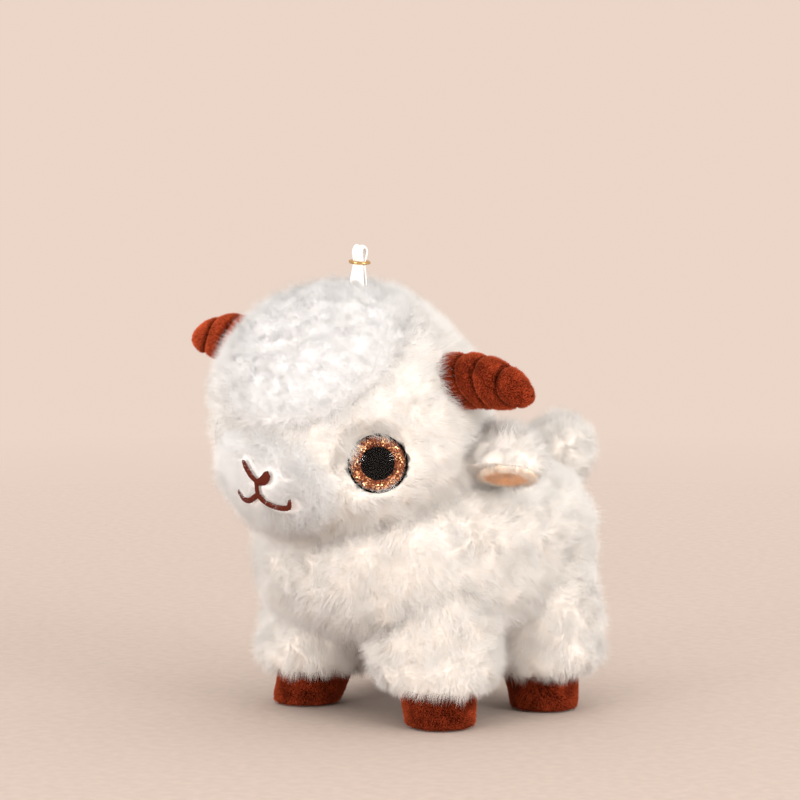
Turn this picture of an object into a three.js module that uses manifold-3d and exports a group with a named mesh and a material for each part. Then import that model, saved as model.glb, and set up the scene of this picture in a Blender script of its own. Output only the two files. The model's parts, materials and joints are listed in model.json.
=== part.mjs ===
// A small plush sheep with sewn horns, leaf ears, safety eyes and a hanging ribbon.
//
// Millimetres. +Z is up, the sheep faces -Y and its left side is +X. The toy is laid out from the point on
// the floor midway between its two front hooves, and the last lines move it so that the middle of its
// footprint's box is the origin. The head has a frame of its own, turned and tilted as the sewn head sits.

import * as THREE from 'three';
import { mergeVertices } from 'three/addons/utils/BufferGeometryUtils.js';
import Module from 'manifold-3d';

const wasm = await Module();
wasm.setup();

// Clearances

const SEAM_GAP = 0.3; // between two pieces that are sewn or pressed together
const TURN_GAP = 0.6; // round a piece that moves
const OVERRUN = 3; // how far a cutter runs past what it cuts
const FACET_GAP = 0.2; // added where two facetted curves lie along each other

// Stance

const HOOF_TRACK = 47.4; // left hoof centre to right hoof centre
const HOOF_REACH = 36.4; // front hoof centre to rear hoof centre

// Hooves: velour cups, a little wider at the top than at the sole

const HOOF_TOP_RADIUS = 9.4;
const HOOF_SOLE_RADIUS = 8.3;
const HOOF_HEIGHT = 11;
const HOOF_WALL = 1.2;
const HOOF_EDGE = 0.9; // rounding of the sole's edge

// Legs: long-pile sleeves that swell like a pompon above each hoof

const LEG_RADIUS = 16.2;
const LEG_HEM_HEIGHT = 8.6;
const LEG_SWELL_HEIGHT = 21; // floor to the widest part
const LEG_HEIGHT = 42; // floor to the sleeve's top, inside the trunk
const LEG_LOW_SHARES = [[0.68, 0], [0.8, 0.15], [0.9, 0.43], [0.97, 0.75]]; // radius, and height from hem
const LEG_HIGH_SHARES = [[1, 0], [0.97, 0.3], [0.86, 0.65], [0.62, 0.92]]; // radius, and height from widest
const FRONT_LEG_IN = 5.2; // the legs lean: a front leg's widest part lies this far inside its sole
const FRONT_LEG_BACK = 3;
const REAR_LEG_IN = 3.4;
const REAR_LEG_BACK = 0.2;

// Trunk

const TRUNK_WIDTH = 67;
const TRUNK_LENGTH = 82;
const TRUNK_DEPTH = 47;
const TRUNK_MIDDLE_HEIGHT = 40.5;
const TRUNK_SETBACK = 18.5; // front hooves to the trunk's middle
const TRUNK_SQUARENESS = 2.7; // exponent of the rounded box: 2 is an ellipsoid
const TRUNK_PILE = 6; // pile and backing together
const NECK_RADIUS = 13;
const NECK_LEAN = 0.4; // radians that the neck leans back from straight down

// Tail

const TAIL_RADIUS = 8.8;
const TAIL_LENGTH = 24;
const TAIL_PILE = 4.6;
const TAIL_PLACE = 0.32; // radians above level, from the trunk's middle to the tail's root on the rump
const TAIL_RISE = 0.634; // radians that the tail points up
const TAIL_ROOT_DEPTH = 1.6; // how far the tail's end sits into the rump
const TAIL_OPENING_RADIUS = 2.6;
const TAIL_SWING = 0.32; // radians to each side

// Head

const HEAD_WIDTH = 69;
const HEAD_LENGTH = 62;
const HEAD_HEIGHT = 64;
const HEAD_PILE = 6;
const HEAD_MIDDLE_HEIGHT = 73;
const HEAD_OVERHANG = 7.8; // the head's middle lies this far in front of the front hooves
const HEAD_TURN = 0.171; // radians, towards the sheep's left
const HEAD_ROLL = 0.098; // radians, left side down
const HEAD_NOD = 0.024; // radians, nose down

// Muzzle: a short-pile panel over a low swelling

const MUZZLE_SWELL = 5;
const MUZZLE_SPREAD = 0.53; // radians
const MUZZLE_DROP = 0.4; // radians below the level of the head's middle
const MUZZLE_PANEL_WIDTH = 34;
const MUZZLE_PANEL_HEIGHT = 25;
const MUZZLE_PANEL_REACH = 14; // how far the panel's edge runs back round the face

// Forelock: curlier wool over the crown and brow

const FORELOCK_RISE = 1.6; // how much higher its pile stands than the head's
const FORELOCK_WIDTH = 45;
const FORELOCK_LENGTH = 52;
const FORELOCK_HEIGHT = 42;
const FORELOCK_FORWARD = 16; // its middle, in front of the head's middle
const FORELOCK_UP = 22;

// Safety eyes

const EYE_RADIUS = 7;
const EYE_OUT = 22.3; // head's middle line to the eye
const EYE_FORWARD = 17.7;
const EYE_DROP = 5.6;
const EYE_AZIMUTH = 0.66; // radians that the eye looks out to the side
const EYE_RIM = 0.35;
const EYE_RIM_HEIGHT = 0.5;
const LENS_RISE = 3.3;
const LENS_EDGE = 0.5;
const PUPIL_RADIUS = 4.1;
const DISC_THICKNESS = 0.6; // pupil and iris discs
const CUP_FLOOR = 1.2;
const POST_RADIUS = 2;
const POST_LENGTH = 9;
const POST_CHAMFER = 0.7;
const BACKING = 1.2; // cloth between the cup and its washer
const WASHER_RADIUS = 6.2;
const WASHER_THICKNESS = 1;

// Horns: stuffed velour with three stitched grooves

const HORN_REACH = 50.4; // head's middle line to the tip
const HORN_ROOT_OUT = 21; // head's middle line to the hidden root
const HORN_UP = 12.4;
const HORN_ARCH = 1.6; // the middle of the horn stands higher than its ends
const HORN_BACK = 2.4;
const HORN_RADIUS = 7.2;
const HORN_WALL = 1.3;
const HORN_GROOVE_DEPTH = 0.7;
const HORN_GROOVE_WIDTH = 1.1;
const HORN_GROOVE_SLANT = 1.5; // how far a groove leads at the front, along the horn
const HORN_GROOVE_SHARES = [0.4, 0.56, 0.76]; // along the horn, root to tip
const HORN_TAPER_SHARE = 0.28; // of the radius, lost towards the tip
const HORN_TAPER_POWER = 2;
const HORN_BLUNTNESS = 5; // exponent of the rounding at the tip
const HORN_RING_CROWDING = 1.3; // exponent: above 1 the rings crowd towards the tip
const HORN_RINGS = 16;
const HORN_SIDES = 10;
const HORN_CORE_RINGS = 6;
const HORN_CORE_SIDES = 6;

// Ears: a long-pile outer leaf over a smooth lining

const EAR_LENGTH = 22;
const EAR_WIDTH = 17.5;
const EAR_THICKNESS = 10.4; // pile and backing of the outer leaf
const EAR_LINING = 1.3;
const EAR_LINING_SHARE = 0.86; // of the ear's length and width
const EAR_OUT = 29.5; // head's middle line to the ear's hinge
const EAR_BACK = 8.9;
const EAR_DROP = 8.4;
const EAR_ROOT = 2.6; // the leaf runs this far in past its hinge
const EAR_TILT = 0.45; // radians, front edge up, so that the lining looks forwards and down
const EAR_LIMITS = [-0.5, 0.22]; // radians: down, and up to just under the horn

// Embroidery

const THREAD_RADIUS = 0.5;
const NOSE_LOBE_RADIUS = 0.85;
const NOSE_HEIGHT = -11.4; // where the arms of the nose meet
const NOSE_ARM = 3.9; // longer arm, sideways
const NOSE_ARM_RISE = 3.8;
const NOSE_LOBE = 2.9; // shorter, fuller arm, sideways
const NOSE_LOBE_RISE = 2.1;
const PHILTRUM = 2.4;
const MOUTH_HEIGHT = -14.6;
const MOUTH_LEFT = 5.8; // towards the sheep's right cheek
const MOUTH_RIGHT = 8.2; // towards its left cheek
const MOUTH_SAG = 2.4;

// Hanging loop and its ring

const RIBBON_WIDTH = 5.6;
const RIBBON_THICKNESS = 0.55;
const RIBBON_FOLD_GAP = 0.4; // between the two plies
const LOOP_RING_HEIGHT = 10.3; // hinge to the ring
const LOOP_HEIGHT = 14.4; // hinge to the loop's top
const LOOP_EYE_RADIUS = 1;
const LOOP_HINGE_DEPTH = 4.4; // from the crown's top down to the hinge
const LOOP_ROOT_RADIUS = 1.1;
const LOOP_BACK = 0.5;
const LOOP_LIMIT = 0.9; // radians, forwards and back
const LOOP_WAIST_SHARE = 0.52; // of the ribbon's width, inside the ring
const RING_RADIUS = 2.3;
const RING_WIRE_RADIUS = 0.36;

// Facets of the soft forms

const HEAD_FACETS = 5;
const TRUNK_FACETS = 5;
const SEAT_FACETS = 4;
const FILLING_FACETS = 2;
const SMALL_FACETS = 2; // tail, forelock and face panel
const EAR_FACETS = 3;
const SOCKET_FACETS = 2;
const ROUND_FACETS = 14; // in the full turn of a leg, an eye or the neck
const THREAD_FACETS = 3; // in each half turn
const THREAD_STEPS = 7;
const LOOP_FACETS = 5; // in each half turn
const RING_FACETS = 6;
const SWEEP_STEPS = 2;
const HALVINGS = 24; // of the search for a place on the face

// Finishes

function finish(color, roughness, metalness = 0) {
  return new THREE.MeshStandardMaterial({ color, roughness, metalness });
}

const FINISHES = {
  wool: finish(0xf4ece2, 0.95),
  curl: finish(0xf5f4f8, 0.95),
  face: finish(0xf6efe8, 0.9),
  filling: finish(0xf2f2f0, 0.98),
  velour: finish(0x84381f, 0.85),
  lining: finish(0xf7b98c, 0.85),
  thread: finish(0x5a2114, 0.7),
  satin: finish(0xf3f0f2, 0.45),
  brass: finish(0xc8a24c, 0.3, 1),
  clear: finish(0xffffff, 0.05),
  glitter: finish(0xb4632c, 0.3),
  black: finish(0x0b0908, 0.25),
};

// Solids: closed meshes in and out of the boolean library

function solidOf(geometry) {
  const bare = geometry.clone();
  bare.deleteAttribute('normal');
  bare.deleteAttribute('uv');
  const merged = mergeVertices(bare);
  const vertProperties = new Float32Array(merged.getAttribute('position').array);
  const triVerts = new Uint32Array(merged.index.array);
  return new wasm.Manifold(new wasm.Mesh({ numProp: 3, vertProperties, triVerts }));
}

function geometryOf(solid) {
  const mesh = solid.getMesh();
  const geometry = new THREE.BufferGeometry();
  geometry.setAttribute('position', new THREE.BufferAttribute(new Float32Array(mesh.vertProperties), 3));
  geometry.setIndex(new THREE.BufferAttribute(new Uint32Array(mesh.triVerts), 1));
  geometry.computeVertexNormals();
  return geometry;
}

function joined(...solids) {
  return solids.reduce((whole, solid) => whole.add(solid));
}

function cut(solid, ...cutters) {
  return cutters.reduce((rest, cutter) => rest.subtract(cutter), solid);
}

function turned(geometry, matrix) {
  const copy = geometry.clone().applyMatrix4(matrix);
  if (matrix.determinant() > 0) return copy;
  const whole = copy.index ? copy : mergeVertices(copy);
  const corners = whole.index.array;
  for (let first = 0; first < corners.length; first += 3) {
    [corners[first], corners[first + 1]] = [corners[first + 1], corners[first]];
  }
  return whole;
}

function mirrorTo(side) {
  return new THREE.Matrix4().makeScale(side, 1, 1);
}

// Shapes

function reachOf(form, toward, inset) {
  const { half, squareness, swells } = form;
  const terms = ['x', 'y', 'z'].map((axis) => (Math.abs(toward[axis]) / (half[axis] - inset)) ** squareness);
  const plain = (terms[0] + terms[1] + terms[2]) ** (-1 / squareness);
  return swells.reduce((reach, swell) => {
    const apart = toward.angleTo(swell.toward) / swell.spread;
    return reach + swell.height * Math.exp(-apart * apart);
  }, plain);
}

function softForm(form, inset, facets) {
  const geometry = new THREE.IcosahedronGeometry(1, facets);
  const places = geometry.getAttribute('position');
  const point = new THREE.Vector3();
  for (let each = 0; each < places.count; each += 1) {
    point.fromBufferAttribute(places, each).normalize();
    point.multiplyScalar(reachOf(form, point.clone(), inset)).add(form.centre);
    places.setXYZ(each, point.x, point.y, point.z);
  }
  return geometry;
}

function roundForm(halfX, halfY, halfZ, centre = new THREE.Vector3()) {
  return { centre, half: new THREE.Vector3(halfX, halfY, halfZ), squareness: 2, swells: [] };
}

// A rod along +Z from low to high, in the frame that the matrix gives
function rod(radius, low, high, facets, matrix = new THREE.Matrix4()) {
  const geometry = new THREE.CylinderGeometry(radius, radius, high - low, facets);
  geometry.rotateX(Math.PI / 2).translate(0, 0, (low + high) / 2);
  return solidOf(geometry.applyMatrix4(matrix));
}

// A profile of [radius, height] points turned about +Z
function lathed(profile, facets) {
  const points = profile.map(([radius, height]) => new THREE.Vector2(radius, height));
  return new THREE.LatheGeometry(points, facets).rotateX(Math.PI / 2);
}

function thread(points, radius) {
  const outline = new THREE.Shape();
  outline.absarc(0, 0, radius, 0, 2 * Math.PI);
  return new THREE.ExtrudeGeometry(outline, {
    curveSegments: THREAD_FACETS,
    steps: THREAD_STEPS,
    bevelEnabled: false,
    extrudePath: new THREE.CatmullRomCurve3(points),
  });
}

// Copies of a geometry turned about an axis through a pivot, from the first angle to the last
function swept(geometry, pivot, axis, [first, last]) {
  const copies = [];
  for (let step = 0; step <= SWEEP_STEPS; step += 1) {
    const angle = first + ((last - first) * step) / SWEEP_STEPS;
    const move = new THREE.Matrix4().makeTranslation(pivot.x, pivot.y, pivot.z);
    move.multiply(new THREE.Matrix4().makeRotationAxis(axis, angle));
    move.multiply(new THREE.Matrix4().makeTranslation(-pivot.x, -pivot.y, -pivot.z));
    copies.push(solidOf(geometry.clone().applyMatrix4(move)));
  }
  return joined(...copies);
}

const sides = { left: 1, right: -1 };

const toy = new THREE.Group();
const head = new THREE.Group();
head.position.set(0, -HEAD_OVERHANG, HEAD_MIDDLE_HEIGHT);
head.rotation.set(HEAD_NOD, HEAD_ROLL, HEAD_TURN, 'ZYX');
toy.add(head);

function add(group, name, solid, material) {
  const mesh = new THREE.Mesh(geometryOf(solid), FINISHES[material]);
  mesh.name = name;
  group.add(mesh);
}

// Trunk

const trunkForm = {
  centre: new THREE.Vector3(0, TRUNK_SETBACK, TRUNK_MIDDLE_HEIGHT),
  half: new THREE.Vector3(TRUNK_WIDTH / 2, TRUNK_LENGTH / 2, TRUNK_DEPTH / 2),
  squareness: TRUNK_SQUARENESS,
  swells: [],
};

const headMiddle = new THREE.Vector3(0, -HEAD_OVERHANG, HEAD_MIDDLE_HEIGHT);
const seatForm = roundForm(
  HEAD_WIDTH / 2 + TURN_GAP,
  HEAD_WIDTH / 2 + TURN_GAP,
  HEAD_HEIGHT / 2 + TURN_GAP,
  headMiddle,
);

const neckFrame = new THREE.Matrix4()
  .makeTranslation(headMiddle.x, headMiddle.y, headMiddle.z)
  .multiply(new THREE.Matrix4().makeRotationX(Math.PI + NECK_LEAN));

// The tail has a frame with its origin on the rump's surface and +Y pointing out along the tail
const tailToward = new THREE.Vector3(0, Math.cos(TAIL_PLACE), Math.sin(TAIL_PLACE));
const tailRoot = tailToward.clone().multiplyScalar(reachOf(trunkForm, tailToward, 0)).add(trunkForm.centre);
const tailFrame = new THREE.Matrix4()
  .makeTranslation(tailRoot.x, tailRoot.y, tailRoot.z)
  .multiply(new THREE.Matrix4().makeRotationX(TAIL_RISE));
const tailMiddle = new THREE.Vector3(0, TAIL_LENGTH / 2 - TAIL_ROOT_DEPTH, 0);
const tailForm = roundForm(TAIL_RADIUS, TAIL_LENGTH / 2, TAIL_RADIUS, tailMiddle);

function tailShape(inset) {
  return softForm(tailForm, inset, SMALL_FACETS).applyMatrix4(tailFrame);
}

function makeTrunk() {
  const seat = solidOf(softForm(seatForm, 0, SEAT_FACETS));
  const upright = new THREE.Vector3(0, 0, 1);
  const tailSocket = swept(tailShape(-TURN_GAP), tailRoot, upright, [-TAIL_SWING, TAIL_SWING]);
  const skin = solidOf(softForm(trunkForm, 0, TRUNK_FACETS));
  const hollow = solidOf(softForm(trunkForm, TRUNK_PILE, FILLING_FACETS));
  const deepSeat = solidOf(softForm(seatForm, -TRUNK_PILE, FILLING_FACETS));
  const neck = rod(NECK_RADIUS, 0, HEAD_HEIGHT, ROUND_FACETS, neckFrame);
  const neckFilling = rod(NECK_RADIUS - SEAM_GAP, 0, HEAD_HEIGHT, ROUND_FACETS, neckFrame);
  const cavity = cut(hollow, deepSeat);
  add(toy, 'body_cover', cut(skin, seat, cavity, neck, tailSocket), 'wool');
  const filling = solidOf(softForm(trunkForm, TRUNK_PILE + SEAM_GAP + FACET_GAP, FILLING_FACETS));
  const fillingSeat = solidOf(softForm(seatForm, -TRUNK_PILE - SEAM_GAP - FACET_GAP, FILLING_FACETS));
  const neckCore = cut(neckFilling.intersect(solidOf(softForm(trunkForm, TRUNK_PILE, FILLING_FACETS))), seat);
  add(toy, 'body_stuffing', joined(cut(filling, fillingSeat), neckCore), 'filling');
}

// Tail

function makeTail() {
  const outward = new THREE.Matrix4().makeRotationX(-Math.PI / 2);
  const alongTail = new THREE.Matrix4().copy(tailFrame).multiply(outward);
  const opening = rod(TAIL_OPENING_RADIUS, -TAIL_ROOT_DEPTH - OVERRUN, tailMiddle.y, ROUND_FACETS, alongTail);
  add(toy, 'tail_cover', cut(solidOf(tailShape(0)), solidOf(tailShape(TAIL_PILE)), opening), 'wool');
  add(toy, 'tail_stuffing', solidOf(tailShape(TAIL_PILE + SEAM_GAP)), 'filling');
}

// Legs and hooves

// Moves a leg's rings sideways, from none at the sole to all of the lean at the widest part
function leaned(geometry, lean) {
  const places = geometry.getAttribute('position');
  for (let each = 0; each < places.count; each += 1) {
    const share = Math.min(places.getZ(each) / LEG_SWELL_HEIGHT, 1);
    places.setX(each, places.getX(each) + share * lean.x);
    places.setY(each, places.getY(each) + share * lean.y);
  }
  return geometry;
}

function makeLeg(name, hoof, lean) {
  const place = new THREE.Matrix4().makeTranslation(hoof.x, hoof.y, 0);
  const trunk = solidOf(softForm(trunkForm, -SEAM_GAP, TRUNK_FACETS));
  const standing = (profile) => solidOf(leaned(lathed(profile, ROUND_FACETS), lean).applyMatrix4(place));
  const column = (radius, low, high) => [
    [0, low], [radius, low], [radius, LEG_SWELL_HEIGHT], [radius, high], [0, high],
  ];

  const lowRings = LEG_LOW_SHARES.map(([radiusShare, heightShare]) => [
    radiusShare * LEG_RADIUS,
    LEG_HEM_HEIGHT + heightShare * (LEG_SWELL_HEIGHT - LEG_HEM_HEIGHT),
  ]);
  const highRings = LEG_HIGH_SHARES.map(([radiusShare, heightShare]) => [
    radiusShare * LEG_RADIUS,
    LEG_SWELL_HEIGHT + heightShare * (LEG_HEIGHT - LEG_SWELL_HEIGHT),
  ]);
  const sleeve = standing([[0, LEG_HEM_HEIGHT], ...lowRings, ...highRings, [0, LEG_HEIGHT]]);
  const bore = standing(column(HOOF_TOP_RADIUS + SEAM_GAP, 0, LEG_HEIGHT + OVERRUN));
  add(toy, `leg_cover_${name}`, cut(sleeve, bore, trunk), 'wool');

  const cup = [
    [0, 0], [HOOF_SOLE_RADIUS - HOOF_EDGE, 0], [HOOF_SOLE_RADIUS, HOOF_EDGE], [HOOF_TOP_RADIUS, HOOF_HEIGHT],
    [HOOF_TOP_RADIUS - HOOF_WALL, HOOF_HEIGHT], [HOOF_SOLE_RADIUS - HOOF_WALL, HOOF_WALL], [0, HOOF_WALL],
  ];
  add(toy, `hoof_cover_${name}`, standing(cup), 'velour');

  const fillingRadius = HOOF_SOLE_RADIUS - HOOF_WALL - SEAM_GAP - FACET_GAP;
  const filling = standing(column(fillingRadius, HOOF_WALL + SEAM_GAP, LEG_HEIGHT));
  add(toy, `leg_stuffing_${name}`, cut(filling, trunk), 'filling');
}

// Head forms, in the head's frame

const muzzleToward = new THREE.Vector3(0, -Math.cos(MUZZLE_DROP), -Math.sin(MUZZLE_DROP));
const headForm = {
  centre: new THREE.Vector3(),
  half: new THREE.Vector3(HEAD_WIDTH / 2, HEAD_LENGTH / 2, HEAD_HEIGHT / 2),
  squareness: 2,
  swells: [{ toward: muzzleToward, height: MUZZLE_SWELL, spread: MUZZLE_SPREAD }],
};
const muzzleMiddle = muzzleToward.clone().multiplyScalar(reachOf(headForm, muzzleToward, 0));
const muzzleForm = roundForm(
  MUZZLE_PANEL_WIDTH / 2,
  MUZZLE_PANEL_REACH,
  MUZZLE_PANEL_HEIGHT / 2,
  muzzleMiddle,
);
const forelockForm = roundForm(
  FORELOCK_WIDTH / 2,
  FORELOCK_LENGTH / 2,
  FORELOCK_HEIGHT / 2,
  new THREE.Vector3(0, -FORELOCK_FORWARD, FORELOCK_UP),
);

// Where the face's surface lies, in front of a point given by its place sideways and its height
function faceDepth(x, z) {
  let outside = -HEAD_LENGTH;
  let inside = 0;
  const point = new THREE.Vector3();
  for (let halving = 0; halving < HALVINGS; halving += 1) {
    const middle = (outside + inside) / 2;
    point.set(x, middle, z);
    const isOutside = point.length() > reachOf(headForm, point.clone().normalize(), 0);
    if (isOutside) outside = middle;
    else inside = middle;
  }
  return inside;
}

// Eyes. Each has a frame with its origin in the middle of the rim and +Z looking out

function eyeFrame(side) {
  return new THREE.Matrix4()
    .makeTranslation(side * EYE_OUT, -EYE_FORWARD, -EYE_DROP)
    .multiply(new THREE.Matrix4().makeRotationZ(side * EYE_AZIMUTH))
    .multiply(new THREE.Matrix4().makeRotationX(Math.PI / 2));
}

const LENS_RADIUS = EYE_RADIUS - EYE_RIM - SEAM_GAP;
const DISC_BACK = -SEAM_GAP - DISC_THICKNESS;
const CUP_TOP = DISC_BACK - SEAM_GAP;
const CUP_BACK = CUP_TOP - CUP_FLOOR;
const BACKING_FRONT = CUP_BACK - SEAM_GAP;
const BACKING_BACK = BACKING_FRONT - BACKING;
const WASHER_FRONT = BACKING_BACK - SEAM_GAP;
const WASHER_BACK = WASHER_FRONT - WASHER_THICKNESS;
const POST_END = CUP_BACK - POST_LENGTH;

function lensProfile() {
  const profile = [[0, 0], [LENS_RADIUS, 0]];
  const domeShares = [0, 0.2, 0.4, 0.6, 0.8];
  domeShares.forEach((share) => {
    const angle = (share * Math.PI) / 2;
    profile.push([
      LENS_RADIUS * Math.cos(angle),
      LENS_EDGE + (LENS_RISE - LENS_EDGE) * Math.sin(angle),
    ]);
  });
  profile.push([0, LENS_RISE]);
  return profile;
}

function makeEye(sideName) {
  const frame = eyeFrame(sides[sideName]);
  const turnedSolid = (profile) => solidOf(lathed(profile, ROUND_FACETS).applyMatrix4(frame));
  add(head, `eye_lens_${sideName}`, turnedSolid(lensProfile()), 'clear');
  const pupil = [[0, DISC_BACK], [PUPIL_RADIUS, DISC_BACK], [PUPIL_RADIUS, -SEAM_GAP], [0, -SEAM_GAP]];
  add(head, `eye_pupil_${sideName}`, turnedSolid(pupil), 'black');
  const irisInner = PUPIL_RADIUS + SEAM_GAP;
  const iris = [
    [irisInner, DISC_BACK], [LENS_RADIUS, DISC_BACK], [LENS_RADIUS, -SEAM_GAP], [irisInner, -SEAM_GAP],
    [irisInner, DISC_BACK],
  ];
  add(head, `eye_iris_${sideName}`, turnedSolid(iris), 'glitter');
  const rimInner = EYE_RADIUS - EYE_RIM;
  const cup = [
    [0, POST_END], [POST_RADIUS - POST_CHAMFER, POST_END], [POST_RADIUS, POST_END + POST_CHAMFER],
    [POST_RADIUS, CUP_BACK], [EYE_RADIUS, CUP_BACK], [EYE_RADIUS, EYE_RIM_HEIGHT],
    [rimInner, EYE_RIM_HEIGHT], [rimInner, CUP_TOP], [0, CUP_TOP],
  ];
  add(head, `eye_cup_${sideName}`, turnedSolid(cup), 'black');
  const washerInner = POST_RADIUS + SEAM_GAP;
  const washer = [
    [washerInner, WASHER_BACK], [WASHER_RADIUS, WASHER_BACK], [WASHER_RADIUS, WASHER_FRONT],
    [washerInner, WASHER_FRONT], [washerInner, WASHER_BACK],
  ];
  add(head, `eye_washer_${sideName}`, turnedSolid(washer), 'black');
}

// Horns

const hornCurve = new THREE.CatmullRomCurve3([
  new THREE.Vector3(HORN_ROOT_OUT, HORN_BACK, HORN_UP - HORN_ARCH),
  new THREE.Vector3((HORN_ROOT_OUT + HORN_REACH) / 2, HORN_BACK, HORN_UP + HORN_ARCH),
  new THREE.Vector3(HORN_REACH, HORN_BACK, HORN_UP),
]);

// Radius at a share of the way along: full at the root, drawn in to a blunt round tip
function hornRadius(share, inset) {
  const rounding = Math.sqrt(1 - share ** HORN_BLUNTNESS);
  const taper = rounding * (1 - HORN_TAPER_SHARE * share ** HORN_TAPER_POWER);
  return Math.max((HORN_RADIUS - inset) * taper, 0);
}

function hornGroove(share, angle) {
  const length = hornCurve.getLength();
  const along = share * length + HORN_GROOVE_SLANT * Math.cos(angle);
  return HORN_GROOVE_SHARES.reduce((depth, place) => {
    const apart = (along - place * length) / HORN_GROOVE_WIDTH;
    return depth + HORN_GROOVE_DEPTH * Math.exp(-apart * apart);
  }, 0);
}

function hornLoft(inset, rings, sides, grooved) {
  const frames = hornCurve.computeFrenetFrames(rings);
  const places = [];
  const corners = [];
  const length = hornCurve.getLength();
  const pointAt = (share) => {
    const along = Math.min(share * (1 - inset / length), 1);
    const past = Math.max(share * (length - inset) - length, 0);
    return hornCurve.getPointAt(along).addScaledVector(hornCurve.getTangentAt(along), past);
  };
  for (let ring = 0; ring < rings; ring += 1) {
    const share = 1 - (1 - ring / rings) ** HORN_RING_CROWDING;
    const middle = pointAt(share);
    for (let side = 0; side < sides; side += 1) {
      const angle = (2 * Math.PI * side) / sides;
      const radius = hornRadius(share, inset) - (grooved ? hornGroove(share, angle) : 0);
      const spoke = frames.normals[ring].clone().multiplyScalar(radius * Math.cos(angle));
      spoke.addScaledVector(frames.binormals[ring], radius * Math.sin(angle));
      places.push(...middle.clone().add(spoke).toArray());
    }
  }
  const root = places.length / 3;
  places.push(...pointAt(0).toArray(), ...pointAt(1).toArray());
  for (let side = 0; side < sides; side += 1) {
    const next = (side + 1) % sides;
    for (let ring = 0; ring + 1 < rings; ring += 1) {
      const low = ring * sides;
      const high = low + sides;
      corners.push(low + side, low + next, high + next, low + side, high + next, high + side);
    }
    const last = (rings - 1) * sides;
    corners.push(root, next, side, last + side, last + next, root + 1);
  }
  const geometry = new THREE.BufferGeometry();
  geometry.setAttribute('position', new THREE.Float32BufferAttribute(places, 3));
  geometry.setIndex(corners);
  return geometry;
}

function hornSolid(side, inset, rings, sides, grooved = false) {
  return solidOf(turned(hornLoft(inset, rings, sides, grooved), mirrorTo(side)));
}

function makeHorn(sideName) {
  const side = sides[sideName];
  const headHollow = solidOf(softForm(headForm, HEAD_PILE - SEAM_GAP, HEAD_FACETS));
  const skin = hornSolid(side, 0, HORN_RINGS, HORN_SIDES, true);
  const wall = HORN_WALL + HORN_GROOVE_DEPTH;
  const hollow = hornSolid(side, wall, HORN_CORE_RINGS, HORN_CORE_SIDES);
  const filling = hornSolid(side, wall + SEAM_GAP, HORN_CORE_RINGS, HORN_CORE_SIDES);
  add(head, `horn_cover_${sideName}`, cut(skin, hollow, headHollow), 'velour');
  add(head, `horn_stuffing_${sideName}`, cut(filling, headHollow), 'filling');
}

// Ears. Each has a frame with its origin on the hinge, +X out to the tip, +Y along the hinge and +Z up

const earHinge = new THREE.Vector3(EAR_OUT, EAR_BACK, -EAR_DROP);
const earAxis = new THREE.Vector3(0, -Math.cos(EAR_TILT), Math.sin(EAR_TILT));
const earFrame = new THREE.Matrix4()
  .makeTranslation(earHinge.x, earHinge.y, earHinge.z)
  .multiply(new THREE.Matrix4().makeRotationX(-EAR_TILT));

const earMiddle = new THREE.Vector3(EAR_LENGTH / 2 - EAR_ROOT, 0, 0);

// The leaf: an ellipsoid's upper part for the pile, a thin slice under it for the lining
function earLeaf(grow, facets) {
  const form = roundForm(EAR_LENGTH / 2 + grow, EAR_WIDTH / 2 + grow, EAR_THICKNESS + grow, earMiddle);
  const slab = new THREE.BoxGeometry(2 * EAR_LENGTH, 2 * EAR_WIDTH, EAR_THICKNESS + OVERRUN);
  slab.translate(0, 0, (EAR_THICKNESS + OVERRUN) / 2 - grow);
  return solidOf(softForm(form, 0, facets)).intersect(solidOf(slab));
}

function earLining(grow, facets) {
  const form = roundForm(
    (EAR_LINING_SHARE * EAR_LENGTH) / 2 + grow,
    (EAR_LINING_SHARE * EAR_WIDTH) / 2 + grow,
    EAR_LINING + SEAM_GAP + grow,
    earMiddle,
  );
  const slab = new THREE.BoxGeometry(2 * EAR_LENGTH, 2 * EAR_WIDTH, EAR_LINING + OVERRUN);
  slab.translate(0, 0, -SEAM_GAP - (EAR_LINING + OVERRUN) / 2 + grow);
  return solidOf(softForm(form, 0, facets)).intersect(solidOf(slab));
}

function earSocket(side) {
  const leaf = joined(earLeaf(TURN_GAP, SOCKET_FACETS), earLining(TURN_GAP, SOCKET_FACETS));
  const whole = geometryOf(leaf).applyMatrix4(earFrame);
  const socket = geometryOf(swept(whole, earHinge, earAxis, EAR_LIMITS));
  return solidOf(turned(socket, mirrorTo(side)));
}

function makeEar(sideName) {
  const side = sides[sideName];
  const placed = (solid) => solidOf(turned(geometryOf(solid).applyMatrix4(earFrame), mirrorTo(side)));
  add(head, `ear_back_${sideName}`, placed(earLeaf(0, EAR_FACETS)), 'wool');
  add(head, `ear_lining_${sideName}`, placed(earLining(0, EAR_FACETS)), 'lining');
}

// Embroidery: threads that lie on the face panel

function facePoint([x, z], radius) {
  return new THREE.Vector3(x, faceDepth(x, z) - radius - SEAM_GAP, z);
}

function stitched(line, radius) {
  return solidOf(thread(line.map((place) => facePoint(place, radius)), radius));
}

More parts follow.
